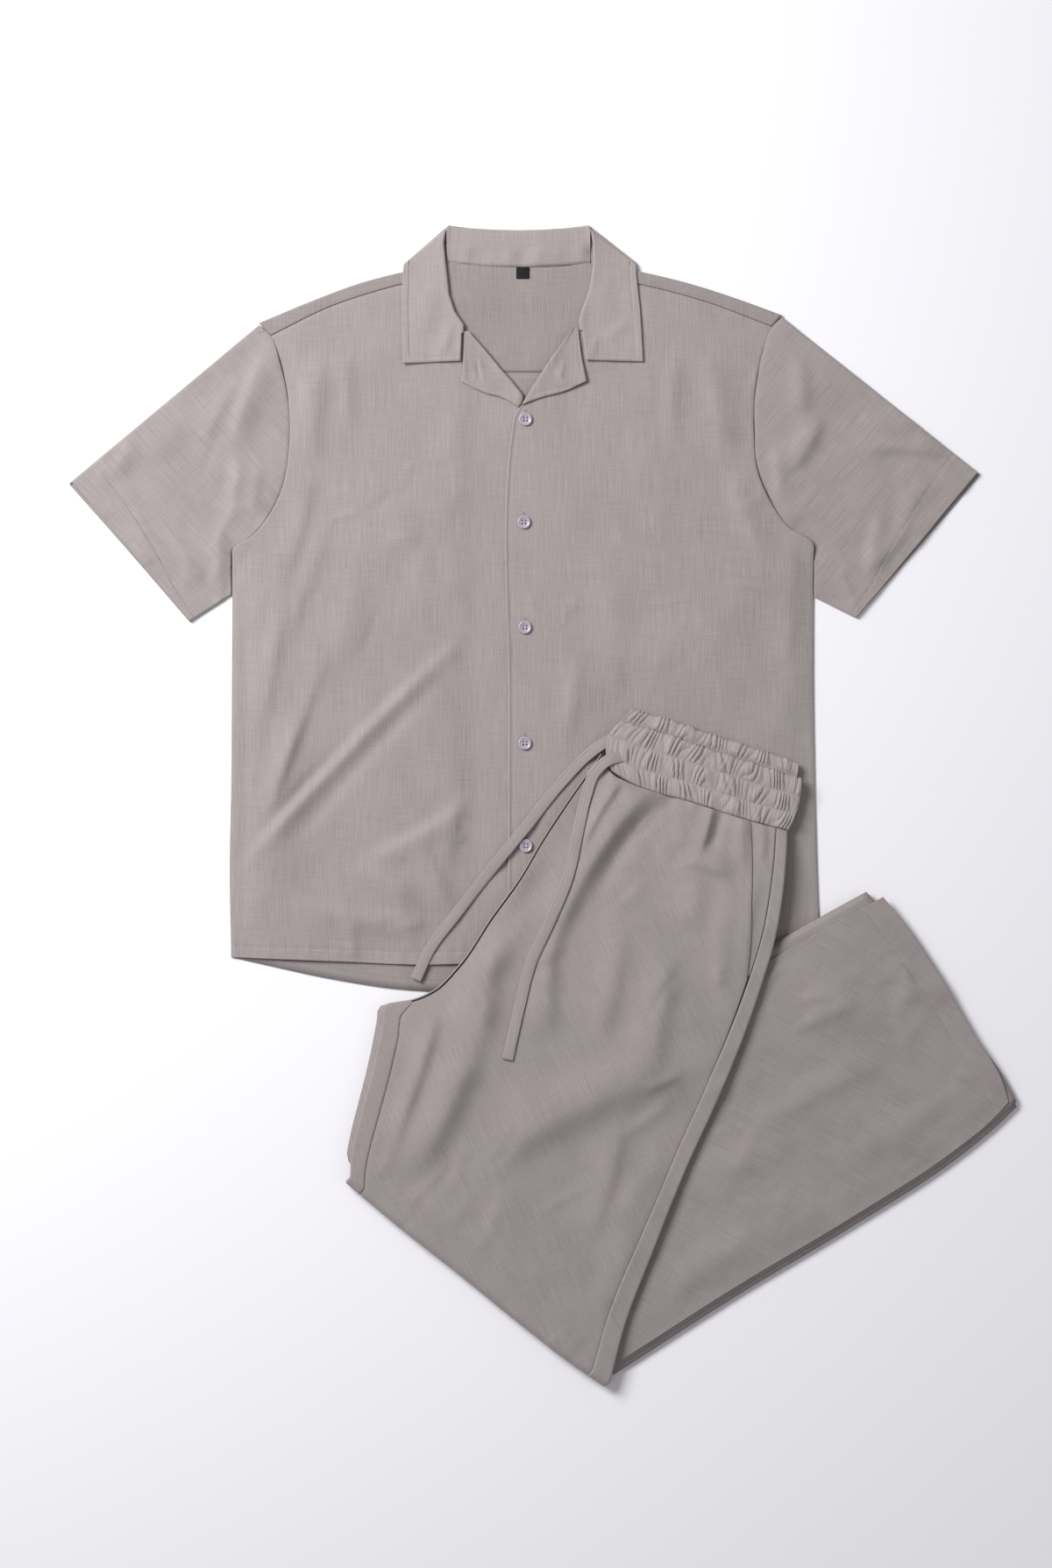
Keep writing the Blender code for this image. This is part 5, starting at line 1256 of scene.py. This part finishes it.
# Right leg below the knee. Its back and, on top, its front; the hem is turned up and stitched
# 25 mm in, and the front's edges roll down over the back's.
LEG_WIDE = 250.0
right_back_place = lower_patch(*LAYER_SPREADS["trouser_right_back"])
x, y = right_back_place(*np.meshgrid(shares(70), shares(50)))
right_back = cloth("cloth_trouser_right_back", "trouser_right_back", x, y,
                   lower_top(x, y) - LOWER_RIM_DROP - WALL - GAP, LOWER_GRAIN,
                   finish=trouser_linen)
lower_place = lower_patch(0.0, 0.0, 0.0, 0.0)
near_hem = (0.8, 3.0, 23.6, 24.6, CUFF_STITCH, 26.0, 27.4)
across, along = np.meshgrid(shares(150, LOWER_LONG, end=near_hem),
                            shares(100, LEG_WIDE, start=NEAR_EDGE, end=NEAR_EDGE))
x, y = lower_place(across, along)
rim = smooth(along, 0.0, 0.1) * (1 - smooth(along, 0.9, 1.0))


def lower_surface(x, y):
    """Top of the right front below the knee, with its folds."""
    shape = folds(x, y, LOWER_FOLDS) + folds(x, y, LOWER_CREASES)
    shape = shape + 0.7 * ripple(x, y, 80.0, 81) + 0.25 * ripple(x, y, 34.0, 82)
    return lower_top(x, y) + 0.3 + np.maximum(shape, -0.3)


fall = hem_relief((1 - across) * LOWER_LONG, CUFF_STITCH, x + y, 83)
z = lower_surface(x, y) - (LOWER_RIM_DROP + 0.3) * (1 - rim) + fall
z = np.maximum(z, lower_top(x, y) - LOWER_RIM_DROP)
right_front = cloth("cloth_trouser_right_front", "trouser_right_front", x, y, z, LOWER_GRAIN,
                    finish=trouser_linen)

# Left leg. Its front reaches from the fly and the inseam to the pocket and the side seam; its
# back goes under and round both edges to the seams on top, and both roll under at the knee.
KNEE_RADIUS = 8.0
KNEE_REST = (0.2, 0.3)
KNEE_LINE = ((-188.3, -367.2), (61.2, -564.3))
CROTCH_ALONG = 0.611
POCKET_ALONG = 0.27
LEG_LONG = 600.0
LEG_FRONT_WIDE = 230.0
LEG_SEAM_COLUMNS = ("along", "inseam_strip", "side_strip", "opening")
LEG_SEAMS = [
    (0.00, 3, 11, 36), (0.14, 3, 12.5, 29), (0.27, 3, 13.5, 15),
    (0.45, 3, 16, 16), (0.61, 3, 15.2, 15.2), (0.667, 22.5, 15.5, 15.5),
    (0.80, 20.5, 18, 18), (1.00, 18.5, 21, 21),
]


def leg_seams(along):
    """Widths of the strips and of the pocket's opening at shares of the leg's length."""
    table = dict(zip(LEG_SEAM_COLUMNS, np.array(LEG_SEAMS).T))
    return [np.interp(along, table["along"], table[name])
            for name in ("inseam_strip", "side_strip", "opening")]


def rung_length(along):
    """Width of the leg at shares of its length."""
    left = np.array(leg_place(0.0, along))
    return np.hypot(*(np.array(leg_place(1.0, along)) - left))


def roll_under(x, y, z, depth):
    """Adds the rows that turn down round the knee fold: an arc, then down to the surface."""
    run = np.array(KNEE_LINE[1]) - np.array(KNEE_LINE[0])
    run = run / np.linalg.norm(run)
    aim = (run[1], -run[0])
    rows = [(x, y, z)]
    center = z[-1:] + depth - KNEE_RADIUS
    for angle in np.linspace(10.0, 90.0, 9):
        turn = math.radians(angle)
        reach = (KNEE_RADIUS - depth) * math.sin(turn)
        rows.append((x[-1:] + aim[0] * reach, y[-1:] + aim[1] * reach,
                     center + (KNEE_RADIUS - depth) * math.cos(turn)))
    reach = KNEE_RADIUS - depth
    for part in (0.35, 0.7, 1.0):
        drop = center * (1 - part) + (KNEE_REST[0] * center + KNEE_REST[1]) * part
        rows.append((x[-1:] + aim[0] * reach, y[-1:] + aim[1] * reach, drop))
    return [np.concatenate([row[axis] for row in rows]) for axis in range(3)]


along_rows = np.unique(np.concatenate([shares(210, LEG_LONG, start=NEAR_EDGE),
                                       [POCKET_ALONG, CROTCH_ALONG]]))
across, along = np.meshgrid(shares(110, LEG_WIDE, start=NEAR_EDGE, end=NEAR_EDGE), along_rows)
inseam, _, opening = leg_seams(along)
length = rung_length(along)
start = (inseam + SEAM_GAP) / length
end = 1 - (opening + SEAM_GAP) / length
x, y = leg_place(start + (end - start) * across, along)
edge_dip = seam_dip((1 - across) * LEG_FRONT_WIDE, 0.4) + seam_dip(along * LEG_LONG, 0.8, 3.0)
edge_dip = edge_dip + seam_dip(across * LEG_FRONT_WIDE, 0.4) * smooth(along, 0.57, 0.63)
x, y, z = roll_under(x, y, leg_top(x, y) - edge_dip, np.zeros(x.shape[1]))
leg_front = cloth("cloth_trouser_left_front", "trouser_left_front", x, y, z, LEG_GRAIN,
                  side=1.0, finish=trouser_linen)

along = along_rows[:, None]
inseam, side, _ = leg_seams(along)
length = rung_length(along)
radius = LEG_HEIGHT / 2
turn = np.radians(np.linspace(90.0, -90.0, 11))[None, :]
round_in = radius * (1 - np.cos(turn)) + 0 * along
strip = np.linspace(1, 0, 8)[None, :-1]
left_strip = radius + (inseam - radius) * strip
right_strip = radius + (side - radius) * strip[:, ::-1]
under = np.linspace(0, 1, 24)[None, 1:-1]
share = np.concatenate([left_strip / length, round_in / length,
                        (radius + (length - 2 * radius) * under) / length,
                        1 - round_in[:, ::-1] / length, 1 - right_strip / length], axis=1)
rise = (1 + np.sin(turn[0])) / 2
lift = np.concatenate([np.ones(7), rise, np.zeros(22), rise[::-1], np.ones(7)])
x, y = leg_place(share, along + 0 * share)
z = leg_bottom(x, y) + lift * (leg_top(x, y) - leg_bottom(x, y))
z[:, 0] -= 0.4
z[:, -1] -= 0.4
x, y, z = roll_under(x, y, z, (1 - lift) * LEG_HEIGHT)
keep = np.ones(x.shape, dtype=bool)
keep[:len(along_rows[along_rows < CROTCH_ALONG]), :9] = False
leg_back = cloth("cloth_trouser_left_back", "trouser_left_back", x, y, z, LEG_GRAIN,
                 keep=keep, finish=trouser_linen)

# Pocket. The facing of the left side pocket shows behind the slant of the front's opening.
across, share = np.meshgrid(np.linspace(0, 1, 18), np.linspace(0, 1, 60))
along = share * POCKET_ALONG * 0.97
_, side, opening = leg_seams(along)
length = rung_length(along)
start = 1 - (opening + 9.0) / length
end = 1 - (side + GAP) / length
x, y = leg_place(start + (end - start) * across, along)
pocket = cloth("cloth_trouser_pocket_facing", "trouser_pocket_facing", x, y,
               leg_top(x, y) - WALL - GAP, LEG_GRAIN, side=1.0, finish=trouser_linen)

# Waistband. Cloth gathered over wide elastic, sewn through in rows that part it into three
# channels; between the rows it stands out in uneven ruffles, and the back's shows past it.
BAND_PAINTED_LIGHT = 1.08     # painted light: a lighter copy of the legs' linen, making up for the shade in its deep ruffles
BAND_DEPTH = 2.4
GATHERS = 28
CHANNELS = 3
WAISTBAND_TOP = [(76, 82), (116, 71), (168, 53), (225.4, 34.5), (251.4, 25.6)]
WAISTBAND_BOTTOM = [(67.8, 32.5), (88.8, 19.8), (142.4, 3.4), (201, -15.3), (239, -25.4)]
WAISTBAND_SHIFT = (4.0, 13.5)
SLIT_PLACE = (84.5, 47.0)    # of the slit that the left tie comes out of
SLIT_SIZE = (1.3, 6.5)       # half its width and height
SLIT_DEPTH = 2.6
band_left = [WAISTBAND_BOTTOM[0], (62.0, 52.4), (65.0, 68.0), WAISTBAND_TOP[0]]
band_right = [WAISTBAND_BOTTOM[-1], (247.5, -5.0), (251.0, 12.6), WAISTBAND_TOP[-1]]
band_place = patch(WAISTBAND_BOTTOM, WAISTBAND_TOP, band_left, band_right)
band_level = SHIRT_HEIGHT + LAYERS_HEIGHT + GAP
# painted light: the waistband's linen is the lighter copy
band_linen = cloth_material("waistband linen", 0.6, 0.45, BAND_PAINTED_LIGHT)


def gathers(across, along, seed):
    """Uneven ruffles, 0 to 1: round ridges, sharp valleys and finer ones, bent at each row.

    They are a sine's size across the band. Slower sines shift it from place to place and from
    channel to channel, and lean it between the rows.
    """
    channel = np.clip(np.floor(along * CHANNELS), 0, CHANNELS - 1)
    within = along * CHANNELS - channel - 0.5
    wander = 2.0 * np.sin(2 * math.pi * (1.7 * across + 0.11 * channel + seed))
    wander = wander + 1.5 * np.sin(2 * math.pi * (4.3 * across + 0.21 * channel + 2 * seed))
    wander = wander + 1.1 * np.sin(2 * math.pi * (9.1 * across + 0.43 * channel + 3 * seed))
    slant = 2.2 * within * np.sin(2 * math.pi * 2.9 * across + 2 * channel)
    curl = 0.8 * np.sin(7.0 * along + 2 * math.pi * 3.7 * across)
    wave = np.abs(np.sin(math.pi * GATHERS * across + wander + slant + curl)) ** 0.7
    fine = np.abs(np.sin(2.6 * math.pi * GATHERS * across + 2 * wander - slant))
    tall = 0.66 + 0.34 * np.sin(2 * math.pi * (7.3 * across + 0.37 * channel) + 3 * seed)
    return tall * (0.82 * wave + 0.18 * fine)


def channel_swell(along):
    """Low on the rows of stitching and 1 between them, three times across the band."""
    return 0.15 + 0.85 * np.abs(np.sin(math.pi * CHANNELS * along)) ** 0.6


def band_height(across, along):
    """Top of the front waistband: pinched at the rows, ruffled between them."""
    calm = 0.6 + 0.4 * smooth(across, 0.03, 0.12)
    swell = channel_swell(along) * (0.7 + 3.4 * gathers(across, along, 0.4)) * calm
    return band_level + 2 * BAND_DEPTH + GAP - 0.2 + swell


across, along = np.meshgrid(np.linspace(0, 1, 420), np.linspace(0, 1, 55))
x, y = band_place(across, along)
scallop = (gathers(across, along, 0.4) - 0.5) * smooth(along, 0.75, 1.0) * 2.6
end_round = 1.4 * (1 - np.sqrt(np.clip(1 - (2 * across - 1) ** 60, 0, 1)))
slit = np.exp(-((x - SLIT_PLACE[0]) / SLIT_SIZE[0]) ** 2)
slit = slit * np.exp(-((y - SLIT_PLACE[1]) / SLIT_SIZE[1]) ** 4)
z = band_height(across, along) - end_round - 1.2 * smooth(np.abs(2 * along - 1), 0.93, 1.0)
waistband = cloth("cloth_trouser_waistband_front", "trouser_waistband_front", x, y + scallop,
                  z - SLIT_DEPTH * slit, LEG_GRAIN, 2.0, finish=band_linen)
across, along = np.meshgrid(0.04 + 0.92 * np.linspace(0, 1, 360), np.linspace(0.12, 1, 50))
x, y = band_place(across, along)
shown = smooth(along, 0.72, 0.84)
swell = channel_swell(along) * (0.4 + 3.2 * gathers(across, along, 1.7))
top = band_level + BAND_DEPTH - 0.3 + shown * swell
scallop = (gathers(across, along, 1.7) - 0.5) * smooth(along, 0.75, 1.0) * 3.0
top = top - 1.0 * smooth(along, 0.965, 1.0)
waistband_back = cloth("cloth_trouser_waistband_back", "trouser_waistband_back",
                       x + WAISTBAND_SHIFT[0], y + WAISTBAND_SHIFT[1] + scallop, top,
                       LEG_GRAIN, 1.8, finish=band_linen)

# Trouser stitching. The shirt's thread: beside the pocket's opening, along the turned hem, and in
# two rows through the waistband.
POCKET_STITCH = 8.0   # from the pocket's opening
run = np.linspace(0, 1, 240)
down = run[run < POCKET_ALONG]
beside_pocket = 1 - (leg_seams(down)[2] + POCKET_STITCH) / rung_length(down)
trouser_lines = [
    line_on(leg_place, beside_pocket, down, leg_top),
    line_on(lower_place, np.full(160, 1 - CUFF_STITCH / LOWER_LONG),
            np.linspace(0.03, 0.97, 160), lower_surface),
]
for row in (1 / 3, 2 / 3):
    on_row = np.full_like(run, row)
    x, y = band_place(run, on_row)
    trouser_lines.append(np.stack([x, y, band_height(run, on_row)], axis=1))
stitches("stitching_trousers", trouser_lines, 0.02)

# Drawstring. A folded and edge-stitched linen tape; both free ends hang from the waistband's
# left end, one across the shirt and one down the left leg, each ending in a square stitched tip.
TIE_WIDTH = 10.6
TIE_DEPTH = 1.6
TIE_LIFT = 0.3
TIE_RIGHT_START = 11.2
TIE_LEFT_START = 17.0
TIE_SUNK = 5.0       # of the left tie's upper end, in the waistband's slit
TIE_STITCH = 1.6
BUTTON_PLACE = (-15.2, -39.5)
TIE_RIGHT_ROUTE = [(68, 64.5), (56, 57.5), (46, 49.8), (18.8, 21.8), (-15.2, -20.8),
                   (-49.2, -62.4), (-83.2, -105.8), (-108.7, -139.8), (-122.3, -169.5)]
TIE_LEFT_ROUTE = [(81, 47.6), (64.7, 43.7), (51.1, 31.1), (43.5, 10.7), (35.8, -22.5),
                  (25.6, -68.4), (6.1, -116), (-11, -154.2), (-22, -196.7),
                  (-33.1, -246)]


def tie_on_shirt(x, y, share):
    """Underside of the right tie: over the fronts and the lowest button."""
    over = front_top(x, y, True)
    under = front_top(x, y, False)
    start = TIE_RIGHT_START * (1 - smooth(share, 0.05, 0.14))
    button = np.hypot(x - BUTTON_PLACE[0], y - BUTTON_PLACE[1])
    hump = (BUTTON_DEPTH + GAP) * (1 - smooth(button, 18.0, 36.0))
    return np.maximum(np.where(x > -45.0, over, under) + GAP + TIE_LIFT + hump, start)


def tie_on_leg(x, y, share):
    """Underside of the left tie: over the waistband's end, then down the leg."""
    band = TIE_LEFT_START * (1 - smooth(share, 0.08, 0.16))
    sunk = TIE_SUNK * (1 - smooth(share, 0.0, 0.035))
    return np.maximum(leg_top(x, y) + GAP + TIE_LIFT, band) - sunk


TIE_SECTION = 20
tie_lines = []
for name, route, height in (("right", TIE_RIGHT_ROUTE, tie_on_shirt),
                            ("left", TIE_LEFT_ROUTE, tie_on_leg)):
    share = np.linspace(0, 1, 150)
    center = curve(route)(share)
    run = np.gradient(center, axis=0)
    run /= np.linalg.norm(run, axis=1)[:, None]
    aside = np.stack([-run[:, 1], run[:, 0]], axis=1)
    spread = center[:, None, :] + aside[:, None, :] * (np.array([-0.5, 0, 0.5])[:, None]
                                                       * TIE_WIDTH)
    low = height(spread[..., 0], spread[..., 1], share[:, None]).max(axis=1)
    low = np.convolve(np.pad(low, 4, mode="edge"), np.ones(9) / 9, mode="valid")
    middle = low + TIE_DEPTH / 2
    turn = np.linspace(0, 2 * math.pi, TIE_SECTION, endpoint=False)
    wide = np.sign(np.cos(turn)) * np.abs(np.cos(turn)) ** 0.45 * TIE_WIDTH / 2
    high = np.sign(np.sin(turn)) * np.abs(np.sin(turn)) ** 0.8 * TIE_DEPTH / 2
    groove = 0.22 * np.exp(-((TIE_WIDTH / 2 - np.abs(wide) - TIE_STITCH) / 0.9) ** 2)
    high = high - np.sign(high) * groove
    curl = 0.5 * ripple(share, 0 * share, 0.35, 91)[:, None] * wide / TIE_WIDTH
    x = center[:, :1] + aside[:, :1] * wide
    y = center[:, 1:] + aside[:, 1:] * wide
    z = middle[:, None] + high + curl
    at = np.concatenate([[0], np.cumsum(np.linalg.norm(np.diff(center, axis=0), axis=1))])
    mesh = grid_mesh(f"tie_{name}", x, y, z, LEG_GRAIN, wrap=True,
                     flat=(wide + 0 * x, at[:, None] + 0 * x))
    work = bmesh.new()
    work.from_mesh(mesh)
    bmesh.ops.holes_fill(work, edges=[edge for edge in work.edges if edge.is_boundary])
    bmesh.ops.recalc_face_normals(work, faces=work.faces)
    work.to_mesh(mesh)
    work.free()
    tie = add_piece(f"tie_{name}", mesh, linen_tape, nodes=[f"trouser_tie_{name}"])
    for side in (-1, 1):
        offset = side * (TIE_WIDTH / 2 - TIE_STITCH)
        line = np.concatenate([center + aside * offset, (low + TIE_DEPTH - 0.3)[:, None]], axis=1)
        tie_lines.append(line[2:-2])
stitches("stitching_ties", tie_lines, 0.05)
